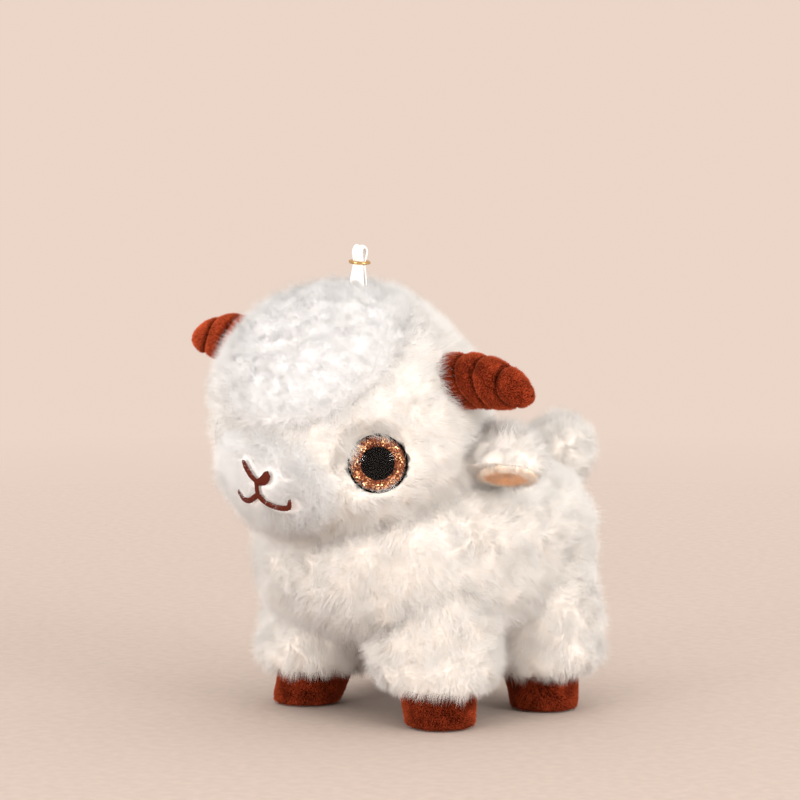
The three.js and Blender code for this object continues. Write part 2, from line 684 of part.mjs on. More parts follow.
function makeEmbroidery() {
  const meeting = [0, NOSE_HEIGHT];
  const arm = [
    meeting,
    [-NOSE_ARM / 2, NOSE_HEIGHT + NOSE_ARM_RISE / 3],
    [-NOSE_ARM, NOSE_HEIGHT + NOSE_ARM_RISE],
  ];
  const lobe = [
    meeting,
    [NOSE_LOBE / 2, NOSE_HEIGHT + NOSE_LOBE_RISE / 2],
    [NOSE_LOBE, NOSE_HEIGHT + NOSE_LOBE_RISE],
  ];
  const stem = [meeting, [0, NOSE_HEIGHT - PHILTRUM / 2], [0, NOSE_HEIGHT - PHILTRUM]];
  const nose = joined(
    stitched(arm, THREAD_RADIUS),
    stitched(lobe, NOSE_LOBE_RADIUS),
    stitched(stem, THREAD_RADIUS),
  );
  add(head, 'nose_embroidery', nose, 'thread');
  const mouth = [
    [-MOUTH_LEFT, MOUTH_HEIGHT + MOUTH_SAG / 2], [-MOUTH_LEFT / 2, MOUTH_HEIGHT - MOUTH_SAG / 4],
    [0, MOUTH_HEIGHT], [MOUTH_RIGHT / 3, MOUTH_HEIGHT - MOUTH_SAG / 2],
    [(2 * MOUTH_RIGHT) / 3, MOUTH_HEIGHT - MOUTH_SAG], [MOUTH_RIGHT, MOUTH_HEIGHT - MOUTH_SAG / 2],
  ];
  add(head, 'mouth_embroidery', stitched(mouth, THREAD_RADIUS), 'thread');
}

// Hanging loop: a doubled ribbon that stands in the crown, gathered by a ring under its eye

const loopHinge = new THREE.Vector3(0, LOOP_BACK, HEAD_HEIGHT / 2 - LOOP_HINGE_DEPTH);

function ribbonSolid() {
  const waist = RIBBON_FOLD_GAP / 2 + RIBBON_THICKNESS;
  const eyeOuter = LOOP_EYE_RADIUS + RIBBON_THICKNESS;
  const eyeHeight = LOOP_HEIGHT - eyeOuter;
  const outer = new THREE.Shape();
  outer.absarc(0, 0, LOOP_ROOT_RADIUS, Math.PI, 2 * Math.PI);
  outer.lineTo(waist, LOOP_ROOT_RADIUS);
  outer.lineTo(waist, LOOP_RING_HEIGHT);
  outer.absarc(0, eyeHeight, eyeOuter, 0, Math.PI);
  outer.lineTo(-waist, LOOP_RING_HEIGHT);
  outer.lineTo(-waist, LOOP_ROOT_RADIUS);
  const fold = new THREE.Path();
  fold.moveTo(RIBBON_FOLD_GAP / 2, LOOP_ROOT_RADIUS);
  fold.lineTo(RIBBON_FOLD_GAP / 2, LOOP_RING_HEIGHT);
  fold.absarc(0, eyeHeight, LOOP_EYE_RADIUS, 0, Math.PI);
  fold.lineTo(-RIBBON_FOLD_GAP / 2, LOOP_RING_HEIGHT);
  fold.lineTo(-RIBBON_FOLD_GAP / 2, LOOP_ROOT_RADIUS);
  outer.holes.push(fold);
  const geometry = new THREE.ExtrudeGeometry(outer, {
    depth: RIBBON_WIDTH, curveSegments: LOOP_FACETS, bevelEnabled: false,
  });
  geometry.translate(0, 0, -RIBBON_WIDTH / 2).rotateX(Math.PI / 2).rotateZ(Math.PI / 2);
  const places = geometry.getAttribute('position');
  for (let each = 0; each < places.count; each += 1) {
    const share = Math.min(Math.max(places.getZ(each) / LOOP_RING_HEIGHT, 0), 1);
    places.setX(each, places.getX(each) * (1 - share * (1 - LOOP_WAIST_SHARE)));
  }
  return solidOf(geometry.translate(loopHinge.x, loopHinge.y, loopHinge.z));
}

function makeLoop() {
  add(head, 'hang_loop', ribbonSolid(), 'satin');
  const ring = new THREE.TorusGeometry(RING_RADIUS, RING_WIRE_RADIUS, RING_FACETS, ROUND_FACETS);
  ring.translate(loopHinge.x, loopHinge.y, loopHinge.z + LOOP_RING_HEIGHT);
  add(head, 'loop_ring', solidOf(ring), 'brass');
}

// A wedge-shaped slot in the crown that lets the loop swing about its root
function loopSlot() {
  const root = LOOP_ROOT_RADIUS + TURN_GAP;
  const width = RIBBON_WIDTH + 2 * TURN_GAP;
  const reach = HEAD_HEIGHT / 2;
  const outline = new THREE.Shape();
  outline.moveTo(-root, 0);
  outline.absarc(0, 0, root, Math.PI, 2 * Math.PI);
  outline.lineTo(root + reach * Math.tan(LOOP_LIMIT), reach);
  outline.lineTo(-root - reach * Math.tan(LOOP_LIMIT), reach);
  const geometry = new THREE.ExtrudeGeometry(outline, {
    depth: width, curveSegments: LOOP_FACETS, bevelEnabled: false,
  });
  geometry.translate(0, 0, -width / 2).rotateX(Math.PI / 2).rotateZ(Math.PI / 2);
  return solidOf(geometry.translate(loopHinge.x, loopHinge.y, loopHinge.z));
}

// Head covers: one shell, parted into the head, the face panel and the forelock

function makeHead() {
  const skin = solidOf(softForm(headForm, 0, HEAD_FACETS));
  const hollow = solidOf(softForm(headForm, HEAD_PILE, FILLING_FACETS));
  const toNeck = new THREE.Matrix4().copy(head.matrix).invert().multiply(neckFrame);
  const neck = rod(NECK_RADIUS, 0, HEAD_HEIGHT, ROUND_FACETS, toNeck);
  const neckFilling = rod(NECK_RADIUS - SEAM_GAP, 0, HEAD_HEIGHT, ROUND_FACETS, toNeck);
  const bothSides = Object.values(sides);

  const muzzle = solidOf(softForm(muzzleForm, 0, SMALL_FACETS));
  const muzzleGap = solidOf(softForm(muzzleForm, -SEAM_GAP, SMALL_FACETS));
  const forelock = solidOf(softForm(forelockForm, 0, SMALL_FACETS));
  const forelockGap = solidOf(softForm(forelockForm, -SEAM_GAP, SMALL_FACETS));
  const tallSkin = solidOf(softForm(headForm, -FORELOCK_RISE, HEAD_FACETS));

  const horns = bothSides.map((side) => hornSolid(side, -SEAM_GAP, HORN_CORE_RINGS, HORN_SIDES));
  const ears = bothSides.map((side) => earSocket(side));
  const recesses = bothSides.map((side) => rod(
    EYE_RADIUS + SEAM_GAP, BACKING_FRONT, HEAD_LENGTH / 2, ROUND_FACETS, eyeFrame(side),
  ));
  const postHoles = bothSides.map((side) => rod(
    POST_RADIUS + SEAM_GAP, POST_END - OVERRUN, HEAD_LENGTH / 2, ROUND_FACETS, eyeFrame(side),
  ));
  const backings = bothSides.map((side) => rod(
    EYE_RADIUS + BACKING, BACKING_BACK, BACKING_FRONT, ROUND_FACETS, eyeFrame(side),
  ));
  const washerRooms = bothSides.map((side) => rod(
    EYE_RADIUS + BACKING + SEAM_GAP, WASHER_BACK - SEAM_GAP, HEAD_LENGTH / 2, ROUND_FACETS, eyeFrame(side),
  ));

  const washerBeds = bothSides.map((side) => rod(
    WASHER_RADIUS + SEAM_GAP, WASHER_BACK - SEAM_GAP, BACKING_BACK, ROUND_FACETS, eyeFrame(side),
  ));

  const shell = joined(cut(skin, hollow, ...washerBeds), ...backings);
  const slot = loopSlot();
  const openings = [...horns, ...ears, ...recesses, ...postHoles, neck, slot];
  add(head, 'head_cover', cut(shell, muzzleGap, forelockGap, ...openings), 'wool');
  add(head, 'face_panel', cut(cut(skin, hollow).intersect(muzzle), ...recesses), 'face');
  add(head, 'forelock', cut(cut(tallSkin, hollow).intersect(forelock), muzzleGap, ...openings), 'curl');

  const filling = solidOf(softForm(headForm, HEAD_PILE + SEAM_GAP + FACET_GAP, FILLING_FACETS));
  const neckCore = neckFilling.intersect(solidOf(softForm(headForm, 0, HEAD_FACETS)));
  const stuffing = cut(joined(filling, neckCore), ...washerRooms, ...postHoles);
  add(head, 'head_stuffing', stuffing, 'filling');
}

head.updateMatrix();
makeTrunk();
makeTail();
Object.entries(sides).forEach(([sideName, side]) => {
  const out = (side * HOOF_TRACK) / 2;
  const frontLean = new THREE.Vector2(-side * FRONT_LEG_IN, FRONT_LEG_BACK);
  const rearLean = new THREE.Vector2(-side * REAR_LEG_IN, REAR_LEG_BACK);
  makeLeg(`front_${sideName}`, new THREE.Vector2(out, 0), frontLean);
  makeLeg(`rear_${sideName}`, new THREE.Vector2(out, HOOF_REACH), rearLean);
});
makeHead();
Object.keys(sides).forEach((sideName) => {
  makeEye(sideName);
  makeHorn(sideName);
  makeEar(sideName);
});
makeEmbroidery();
makeLoop();

// The origin goes to the middle of the box's underside
const bounds = new THREE.Box3().setFromObject(toy, true);
const middle = bounds.getCenter(new THREE.Vector3());
toy.position.set(-middle.x, -middle.y, -bounds.min.z);

export default toy;
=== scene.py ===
"""The looks of a small plush sheep, built over its solid frame.

Every piece is laid out in millimetres in the frame's own coordinates: +Z is up, the sheep faces -Y and its left
side is +X. The long pile, the velour's nap and the stitches are grown with Geometry Nodes on skins that lie inside
the solids, so that the tips of the pile reach the solids' surfaces.
"""

import json
import logging
import math
from collections.abc import Callable, Iterable, Sequence
from dataclasses import dataclass, field, replace
from enum import Enum

import bmesh
import bpy
import numpy as np
from mathutils import Matrix, Vector, noise

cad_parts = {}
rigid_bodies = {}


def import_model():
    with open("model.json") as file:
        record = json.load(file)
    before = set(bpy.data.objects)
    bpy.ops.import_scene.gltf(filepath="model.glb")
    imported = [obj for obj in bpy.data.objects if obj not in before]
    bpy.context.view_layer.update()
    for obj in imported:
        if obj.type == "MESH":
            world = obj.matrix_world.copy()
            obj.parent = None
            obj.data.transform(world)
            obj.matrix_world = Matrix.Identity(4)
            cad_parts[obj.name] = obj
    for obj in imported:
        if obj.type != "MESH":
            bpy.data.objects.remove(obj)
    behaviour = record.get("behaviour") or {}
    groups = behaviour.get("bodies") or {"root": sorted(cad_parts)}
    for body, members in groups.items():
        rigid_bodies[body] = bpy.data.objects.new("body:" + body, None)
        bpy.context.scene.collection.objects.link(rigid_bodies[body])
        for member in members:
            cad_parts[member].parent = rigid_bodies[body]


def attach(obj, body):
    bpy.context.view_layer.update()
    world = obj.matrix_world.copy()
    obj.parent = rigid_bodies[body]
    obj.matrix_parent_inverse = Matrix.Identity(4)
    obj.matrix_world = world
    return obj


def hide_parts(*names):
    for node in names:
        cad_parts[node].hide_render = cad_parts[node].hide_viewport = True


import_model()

log = logging.getLogger("sheep")

MM = 0.001
Color = tuple[float, float, float]
Point = tuple[float, float, float]


class Side(Enum):
    """The sheep's two sides, with the sign of X on each."""

    LEFT = 1
    RIGHT = -1

    @property
    def word(self) -> str:
        """The side's name as the nodes spell it."""
        return self.name.lower()


# Expressions on sockets


class Term:
    """A socket's value, which takes part in sums like a number."""

    def __init__(self, flow: "Flow", socket: bpy.types.NodeSocket) -> None:
        """Wraps a socket.

        Args:
            flow: The tree that the socket is in.
            socket: An output socket.
        """
        self.flow = flow
        self.socket = socket

    @property
    def is_vector(self) -> bool:
        """Whether the value has three parts."""
        return self.socket.type in ("VECTOR", "RGBA")

    def __add__(self, other: "Value") -> "Term":
        """The sum with another value."""
        return self.flow.sum_of("ADD", self, other)

    def __radd__(self, other: "Value") -> "Term":
        """The sum with a plain value on the left."""
        return self.flow.sum_of("ADD", other, self)

    def __sub__(self, other: "Value") -> "Term":
        """The difference from another value."""
        return self.flow.sum_of("SUBTRACT", self, other)

    def __rsub__(self, other: "Value") -> "Term":
        """The difference from a plain value on the left."""
        return self.flow.sum_of("SUBTRACT", other, self)

    def __mul__(self, other: "Value") -> "Term":
        """The product with another value."""
        return self.flow.sum_of("MULTIPLY", self, other)

    def __rmul__(self, other: "Value") -> "Term":
        """The product with a plain value on the left."""
        return self.flow.sum_of("MULTIPLY", other, self)

    def __truediv__(self, other: "Value") -> "Term":
        """The quotient by another value."""
        return self.flow.sum_of("DIVIDE", self, other)

    def __rtruediv__(self, other: "Value") -> "Term":
        """The quotient with a plain value on the left."""
        return self.flow.sum_of("DIVIDE", other, self)

    def __pow__(self, other: "Value") -> "Term":
        """The power of a number."""
        return self.flow.sum_of("POWER", self, other)

    def clamped(self) -> "Term":
        """The number, held between 0 and 1."""
        return self.flow.out(self.flow.node("ShaderNodeClamp", inputs={0: self}))


Value = Term | float | int | Sequence[float]


class Flow:
    """A node tree that is written as expressions."""

    def __init__(self, tree: bpy.types.NodeTree) -> None:
        """Starts on a tree.

        Args:
            tree: The tree that the nodes go into.
        """
        self.tree = tree

    def node(
        self,
        kind: str,
        settings: dict[str, object] | None = None,
        inputs: dict[int | str, object] | None = None,
    ) -> bpy.types.Node:
        """Adds a node.

        Args:
            kind: The node's type.
            settings: Its properties, set first. The stops of a ramp are a list of (place, colour).
            inputs: A value or a term for each socket, by index, identifier or name.

        Returns:
            The node.
        """
        made = self.tree.nodes.new(kind)
        for name, value in (settings or {}).items():
            if name == "stops":
                self._set_stops(made.color_ramp, value)
            else:
                setattr(made, name, value)
        for key, value in (inputs or {}).items():
            self.feed(self._socket(made, key), value)
        return made

    @staticmethod
    def _set_stops(ramp: bpy.types.ColorRamp, stops: Sequence[tuple[float, Color]]) -> None:
        """Gives a ramp its stops.

        Args:
            ramp: The ramp.
            stops: A place and a colour for each.
        """
        while len(ramp.elements) < len(stops):
            ramp.elements.new(1.0)
        for element, (place, color) in zip(ramp.elements, stops):
            element.position = place
            element.color = (*color, 1.0)

    @staticmethod
    def _socket(node: bpy.types.Node, key: int | str) -> bpy.types.NodeSocket:
        """Finds an input.

        Args:
            node: The node.
            key: The input's index, identifier or name.

        Returns:
            The socket.
        """
        if isinstance(key, int):
            return node.inputs[key]
        live = [socket for socket in node.inputs if socket.enabled]
        exact = [socket for socket in live if socket.identifier == key]
        return (exact or [socket for socket in live if socket.name == key])[0]

    def feed(self, socket: bpy.types.NodeSocket, value: object) -> None:
        """Gives an input its value.

        Args:
            socket: The input.
            value: A term, a socket to link, or a plain value.
        """
        if isinstance(value, Term):
            self.tree.links.new(value.socket, socket)
        elif isinstance(value, bpy.types.NodeSocket):
            self.tree.links.new(value, socket)
        elif isinstance(value, (tuple, list)) and socket.type == "RGBA" and len(value) == 3:
            socket.default_value = (*value, 1.0)
        else:
            socket.default_value = value

    def out(self, node: bpy.types.Node, name: str | None = None) -> Term:
        """The first live output of a node, or the one of that name."""
        live = [socket for socket in node.outputs if socket.enabled and name in (None, socket.name)]
        return Term(self, live[0])

    def sum_of(self, operation: str, first: Value, second: Value) -> Term:
        """Works out an operation on two values, as numbers or as vectors.

        Args:
            operation: The operation's name in Blender.
            first: The left value.
            second: The right value.

        Returns:
            The result.
        """
        vectors = [self._is_vector(value) for value in (first, second)]
        if not any(vectors):
            return self.out(self.node("ShaderNodeMath", {"operation": operation}, {0: first, 1: second}))
        if operation == "MULTIPLY" and not all(vectors):
            vector, number = (first, second) if vectors[0] else (second, first)
            return self.out(
                self.node("ShaderNodeVectorMath", {"operation": "SCALE"}, {0: vector, "Scale": number})
            )
        return self.out(self.node("ShaderNodeVectorMath", {"operation": operation}, {0: first, 1: second}))

    @staticmethod
    def _is_vector(value: Value) -> bool:
        """Whether a value has three parts."""
        return value.is_vector if isinstance(value, Term) else isinstance(value, (tuple, list))

    def math(self, operation: str, *values: Value) -> Term:
        """A Math node's result on these numbers."""
        return self.out(self.node("ShaderNodeMath", {"operation": operation}, dict(enumerate(values))))

    def vector(self, operation: str, *values: Value) -> Term:
        """A Vector Math node's result on these vectors."""
        return self.out(self.node("ShaderNodeVectorMath", {"operation": operation}, dict(enumerate(values))))

    def mix(self, share: Value, first: Value, second: Value) -> Term:
        """Mixes two vectors by a share."""
        node = self.node(
            "ShaderNodeMix",
            {"data_type": "VECTOR"},
            {"Factor_Float": share, "A_Vector": first, "B_Vector": second},
        )
        return self.out(node)

    def tint(self, share: Value, first: Value, second: Value, way: str = "MIX") -> Term:
        """Mixes two colours by a share, in one of Blender's ways."""
        node = self.node(
            "ShaderNodeMix",
            {"data_type": "RGBA", "blend_type": way},
            {"Factor_Float": share, "A_Color": first, "B_Color": second},
        )
        return self.out(node)

    def ramp(self, value: Value, stops: Sequence[tuple[float, Color]]) -> Term:
        """A colour read off a row of stops at a number."""
        return self.out(self.node("ShaderNodeValToRGB", {"stops": stops}, {0: value}), "Color")

    def parts(self, value: Term) -> tuple[Term, Term, Term]:
        """The three numbers of a vector."""
        node = self.node("ShaderNodeSeparateXYZ", inputs={0: value})
        return tuple(Term(self, socket) for socket in node.outputs)

    def vec(self, x: Value, y: Value, z: Value) -> Term:
        """A vector of three numbers."""
        return self.out(self.node("ShaderNodeCombineXYZ", inputs={0: x, 1: y, 2: z}))

    def grain(self, place: Value, scale: Value, detail: float = 2.0, name: str = "Fac") -> Term:
        """A noise pattern's number or colour at a place."""
        return self.out(
            self.node("ShaderNodeTexNoise", inputs={"Vector": place, "Scale": scale, "Detail": detail}), name
        )


# Finishes


@dataclass(frozen=True)
class Wool:
    """Long or short pile: darker and warmer at its roots, which is painted shade deep in the pile, with hairs that
    differ a little.
    """

    name: str
    root: Color
    middle: Color
    tip: Color
    variation: float = 0.1
    roughness: float = 0.8
    sheen: float = 0.2
    gleam: float = 0.2
    tint: Color = (1.0, 1.0, 1.0)
    sheen_tint: Color = (1.0, 1.0, 1.0)

    def material(self) -> bpy.types.Material:
        """Builds the material, which reads each hair's chance and height from its own map."""
        flow, shader = new_finish(self.name)
        chance, height, _ = flow.parts(flow.out(flow.node("ShaderNodeUVMap", {"uv_map": "OFBake"})))
        # The ramp darkens and warms the colour towards the roots and the bare skin under them: painted shade deep in
        # the pile.
        shade = flow.ramp(height, [(0.0, self.root), (0.45, self.middle), (0.85, self.tip)])
        swing = (chance - 0.5) * self.variation + 1.0
        flow.feed(shader.inputs["Base Color"], shade * flow.tint(chance, self.tint, (1.0, 1.0, 1.0)) * swing)
        shader.inputs["Roughness"].default_value = self.roughness
        shader.inputs["Sheen Weight"].default_value = self.sheen
        shader.inputs["Sheen Roughness"].default_value = 0.5
        shader.inputs["Sheen Tint"].default_value = (*self.sheen_tint, 1.0)
        shader.inputs["Specular IOR Level"].default_value = self.gleam
        return bpy.data.materials[self.name]


@dataclass(frozen=True)
class Plastic:
    """Moulded plastic with a fine grain and faint scuffs."""

    name: str
    color: Color
    roughness: float = 0.3
    gleam: float = 0.25

    def material(self) -> bpy.types.Material:
        """Builds the material."""
        flow, shader = new_finish(self.name)
        place = flow.out(flow.node("ShaderNodeTexCoord"), "Object")
        scuff = flow.grain(place, 240.0, 2.0)
        shade = flow.tint(scuff, self.color, tuple(1.5 * part for part in self.color))
        flow.feed(shader.inputs["Base Color"], shade)
        flow.feed(shader.inputs["Roughness"], scuff * 0.2 + (self.roughness - 0.1))
        shader.inputs["Specular IOR Level"].default_value = self.gleam
        bump = flow.node("ShaderNodeBump", inputs={"Strength": 0.04, "Distance": 0.0001, "Height": scuff})
        flow.feed(shader.inputs["Normal"], bump.outputs[0])
        return bpy.data.materials[self.name]


@dataclass(frozen=True)
class Glitter:
    """Flakes of foil in varnish, each tilted and coloured a little differently."""

    name: str
    dark: Color
    middle: Color
    bright: Color
    flake: float = 0.32

    def material(self) -> bpy.types.Material:
        """Builds the material, whose own map runs across the disc and round it."""
        flow, shader = new_finish(self.name)
        place = flow.out(flow.node("ShaderNodeTexCoord"), "Object")
        flakes = flow.node("ShaderNodeTexVoronoi", inputs={"Vector": place, "Scale": 1.0 / (self.flake * MM)})
        chance, tilt, _ = flow.parts(flow.out(flakes, "Color"))
        across = flow.parts(flow.out(flow.node("ShaderNodeUVMap", {"uv_map": "disc"})))[0]
        ring = (1.0 - flow.math("ABSOLUTE", across - 0.5) * 2.0).clamped()
        level = (chance * 0.8 + ring * 0.3).clamped()
        stops = [(0.15, self.dark), (0.5, self.middle), (0.74, self.middle), (0.95, self.bright)]
        flow.feed(shader.inputs["Base Color"], flow.ramp(level, stops))
        flow.feed(shader.inputs["Metallic"], (tilt * 0.5 + 0.4).clamped())
        shader.inputs["Roughness"].default_value = 0.32
        facing = (flow.out(flakes, "Color") - (0.5, 0.5, 0.5)) * 0.8
        normal = flow.out(flow.node("ShaderNodeNewGeometry"), "Normal")
        flow.feed(shader.inputs["Normal"], flow.vector("NORMALIZE", normal + facing))
        return bpy.data.materials[self.name]


@dataclass(frozen=True)
class ClearDome:
    """Clear plastic that lets the iris show and mirrors the room near its edge."""

    name: str
    roughness: float = 0.03

    def material(self) -> bpy.types.Material:
        """Builds the material."""
        flow, shader = new_finish(self.name)
        place = flow.out(flow.node("ShaderNodeTexCoord"), "Object")
        smear = flow.grain(place, 300.0, 2.0)
        shader.inputs["Base Color"].default_value = (1.0, 1.0, 1.0, 1.0)
        shader.inputs["Metallic"].default_value = 1.0
        flow.feed(shader.inputs["Roughness"], smear * 0.04 + self.roughness)
        clear = flow.node("ShaderNodeBsdfTransparent")
        facing = flow.out(flow.node("ShaderNodeLayerWeight", inputs={"Blend": 0.5}), "Facing")
        share = facing * facing * facing * 0.5 + 0.006
        both = flow.node("ShaderNodeMixShader", inputs={0: share, 1: clear.outputs[0], 2: shader.outputs[0]})
        material = bpy.data.materials[self.name]
        flow.feed(material.node_tree.nodes["Material Output"].inputs["Surface"], both.outputs[0])
        return material


@dataclass(frozen=True)
class Thread:
    """Rayon thread: a soft gleam, with fine twisted plies that run round its length."""

    name: str
    color: Color
    plies_per_mm: float = 3.2
    roughness: float = 0.5

    def material(self) -> bpy.types.Material:
        """Builds the material, whose own map runs along the thread and round it, in millimetres."""
        flow, shader = new_finish(self.name)
        along, around, _ = flow.parts(flow.out(flow.node("ShaderNodeUVMap", {"uv_map": "thread"})))
        ply = flow.math("SINE", (along * self.plies_per_mm + around * 2.0) * (2 * math.pi)) * 0.5 + 0.5
        place = flow.out(flow.node("ShaderNodeTexCoord"), "Object")
        worn = flow.grain(place, 1600.0, 2.0)
        dark = tuple(0.55 * part for part in self.color)
        light = tuple(1.25 * part + 0.01 for part in self.color)
        flow.feed(shader.inputs["Base Color"], flow.tint((ply * 0.6 + worn * 0.4).clamped(), dark, light))
        shader.inputs["Roughness"].default_value = self.roughness
        shader.inputs["Specular IOR Level"].default_value = 0.07
        bump = flow.node("ShaderNodeBump", inputs={"Strength": 0.6, "Distance": 0.00008, "Height": ply})
        flow.feed(shader.inputs["Normal"], bump.outputs[0])
        return bpy.data.materials[self.name]


@dataclass(frozen=True)
class Satin:
    """White satin: a smooth woven face whose threads show close up."""

    name: str
    color: Color
    shade: Color
    threads_per_mm: float = 5.0

    def material(self) -> bpy.types.Material:
        """Builds the material, whose own map runs along the ribbon and across it, in millimetres."""
        flow, shader = new_finish(self.name)
        along, across, _ = flow.parts(flow.out(flow.node("ShaderNodeUVMap", {"uv_map": "thread"})))
        weft = flow.math("SINE", along * (2 * math.pi * self.threads_per_mm)) * 0.5 + 0.5
        warp = flow.math("SINE", across * (2 * math.pi * self.threads_per_mm * 0.8)) * 0.5 + 0.5
        place = flow.out(flow.node("ShaderNodeTexCoord"), "Object")
        slub = flow.grain(place, 700.0, 3.0)
        weave = (weft * 0.6 + warp * 0.25 + slub * 0.3).clamped()
        flow.feed(shader.inputs["Base Color"], flow.tint(weave, self.shade, self.color))
        flow.feed(shader.inputs["Roughness"], weave * -0.12 + 0.42)
        shader.inputs["Sheen Weight"].default_value = 0.3
        bump = flow.node("ShaderNodeBump", inputs={"Strength": 0.35, "Distance": 0.00006, "Height": weave})
        flow.feed(shader.inputs["Normal"], bump.outputs[0])
        return bpy.data.materials[self.name]


@dataclass(frozen=True)
class Brass:
    """Bent wire of plated brass, with faint drawing marks."""

    name: str
    color: Color

    def material(self) -> bpy.types.Material:
        """Builds the material."""
        flow, shader = new_finish(self.name)
        place = flow.out(flow.node("ShaderNodeTexCoord"), "Object")
        mark = flow.grain(place * (1.0, 1.0, 6.0), 900.0, 3.0)
        flow.feed(shader.inputs["Base Color"], flow.tint(mark, tuple(0.75 * p for p in self.color), self.color))
        flow.feed(shader.inputs["Roughness"], mark * 0.2 + 0.15)
        shader.inputs["Metallic"].default_value = 1.0
        return bpy.data.materials[self.name]


@dataclass(frozen=True)
class Filling:
    """Matted polyester fibres."""

    name: str
    color: Color
    shade: Color

    def material(self) -> bpy.types.Material:
        """Builds the material."""
        flow, shader = new_finish(self.name)
        place = flow.out(flow.node("ShaderNodeTexCoord"), "Object")
        swirl = flow.grain(place, 150.0, 2.0, "Color")
        fibre = flow.grain(place + swirl * 0.006, 1400.0, 4.0)
        flow.feed(shader.inputs["Base Color"], flow.tint(fibre, self.shade, self.color))
        shader.inputs["Roughness"].default_value = 0.9
        shader.inputs["Sheen Weight"].default_value = 0.3
        bump = flow.node("ShaderNodeBump", inputs={"Strength": 0.8, "Distance": 0.0004, "Height": fibre})
        flow.feed(shader.inputs["Normal"], bump.outputs[0])
        return bpy.data.materials[self.name]


def new_finish(name: str) -> tuple[Flow, bpy.types.Node]:
    """Starts a material.

    Args:
        name: The material's name.

    Returns:
        Its tree and its main shader.
    """
    material = bpy.data.materials.new(name)
    material.use_nodes = True
    return Flow(material.node_tree), material.node_tree.nodes["Principled BSDF"]


# Forms


def unit(rows: np.ndarray) -> np.ndarray:
    """Rows of vectors, each brought to a length of one."""
    return rows / np.maximum(np.linalg.norm(rows, axis=-1, keepdims=True), 1e-9)


@dataclass(frozen=True)
class Swell:
    """A rounded rise of a form towards one side."""

    toward: Point
    height: float
    spread: float


@dataclass(frozen=True)
class SoftForm:
    """A rounded box with swells, in a frame of its own. Lengths are in millimetres."""

    half: Point
    matrix: Matrix = field(default_factory=Matrix)
    squareness: float = 2.0
    swells: tuple[Swell, ...] = ()

    def reach(self, toward: np.ndarray, inset: float | np.ndarray = 0.0) -> np.ndarray:
        """How far the surface lies from the middle.

        Args:
            toward: Unit directions, a row each, in the form's frame.
            inset: How far inside the form's own surface.

        Returns:
            A distance for each direction.
        """
        half = np.array(self.half)[None, :] - np.reshape(inset, (-1, 1))
        plain = (np.abs(toward / half) ** self.squareness).sum(1) ** (-1 / self.squareness)
        for swell in self.swells:
            apart = np.arccos(np.clip(toward @ unit(np.array(swell.toward)), -1, 1)) / swell.spread
            plain = plain + swell.height * np.exp(-apart * apart)
        return plain

    def points(self, toward: np.ndarray, inset: float | np.ndarray = 0.0) -> np.ndarray:
        """Points of the surface in the toy's frame, in millimetres, for unit directions in the form's."""
        local = toward * self.reach(toward, inset)[:, None]
        return to_frame(self.matrix, local)

    def depth(self, places: np.ndarray) -> np.ndarray:
        """How far each place of the toy's frame lies outside the surface, below zero inside."""
        local = to_frame(self.matrix.inverted(), places)
        away = np.linalg.norm(local, axis=1)
        return away - self.reach(unit(local))


def to_frame(matrix: Matrix, places: np.ndarray) -> np.ndarray:
    """Rows of places, moved by a matrix."""
    turn = np.array(matrix.to_3x3())
    return places @ turn.T + np.array(matrix.translation)


def ball(levels: int) -> tuple[np.ndarray, np.ndarray]:
    """A ball's unit directions and its triangles.

    Args:
        levels: How often an icosahedron is divided.

    Returns:
        The corners, a row each, and the triangles' corner numbers.
    """
    work = bmesh.new()
    bmesh.ops.create_icosphere(work, subdivisions=levels, radius=1.0)
    work.verts.ensure_lookup_table()
    corners = np.array([v.co[:] for v in work.verts])
    faces = np.array([[v.index for v in f.verts] for f in work.faces])
    work.free()
    return unit(corners), faces


def smooth_step(low: float, high: float, values: np.ndarray) -> np.ndarray:
    """A soft step from 0 at low to 1 at high."""
    share = np.clip((values - low) / (high - low), 0, 1)
    return share * share * (3 - 2 * share)


def lumps(places: np.ndarray, size: float, seed: float) -> np.ndarray:
    """Smooth random numbers from -1 to 1 at places, alike within a size in millimetres."""
    shift = Vector((seed * 7.3, seed * 3.1, seed * 5.7))
    return np.array([noise.noise(Vector(place) / size + shift) for place in places])


def tufts(places: np.ndarray, size: float, seed: float) -> np.ndarray:
    """Rounded rises at places, from 0 in the furrows between tufts to 1 on their tops."""
    shift = Vector((seed * 2.9, seed * 8.3, seed * 4.1))
    near = [noise.voronoi(Vector(place) / size + shift)[0] for place in places]
    rows = np.array(near)
    return np.sqrt(np.clip(rows[:, 1] - rows[:, 0], 0, 1))


def drift(places: np.ndarray, size: float, seed: float) -> np.ndarray:
    """Smooth random vectors at places, alike within a size in millimetres."""
    return np.stack([lumps(places, size, seed + 10 * axis) for axis in range(3)], 1)


def new_object(name: str, places: np.ndarray, faces: Sequence, smooth: bool = True) -> bpy.types.Object:
    """Makes an object of a mesh.

    Args:
        name: The object's name.
        places: Its corners in millimetres.
        faces: The corner numbers of each face.
        smooth: Whether its shading is smooth.

    Returns:
        The object, at the origin.
    """
    mesh = bpy.data.meshes.new(name)
    mesh.from_pydata((np.asarray(places) * MM).tolist(), [], [list(map(int, face)) for face in faces])
    mesh.shade_smooth() if smooth else mesh.shade_flat()
    made = bpy.data.objects.new(name, mesh)
    bpy.context.scene.collection.objects.link(made)
    return made


def finished_mesh(thing: bpy.types.Object) -> bpy.types.Mesh:
    """What an object's modifiers make of its mesh.

    Args:
        thing: The object.

    Returns:
        A new mesh with all its layers.
    """
    graph = bpy.context.evaluated_depsgraph_get()
    for _ in range(2):
        thing.update_tag()
        graph.update()
    return bpy.data.meshes.new_from_object(
        thing.evaluated_get(graph), preserve_all_data_layers=True, depsgraph=graph
    )


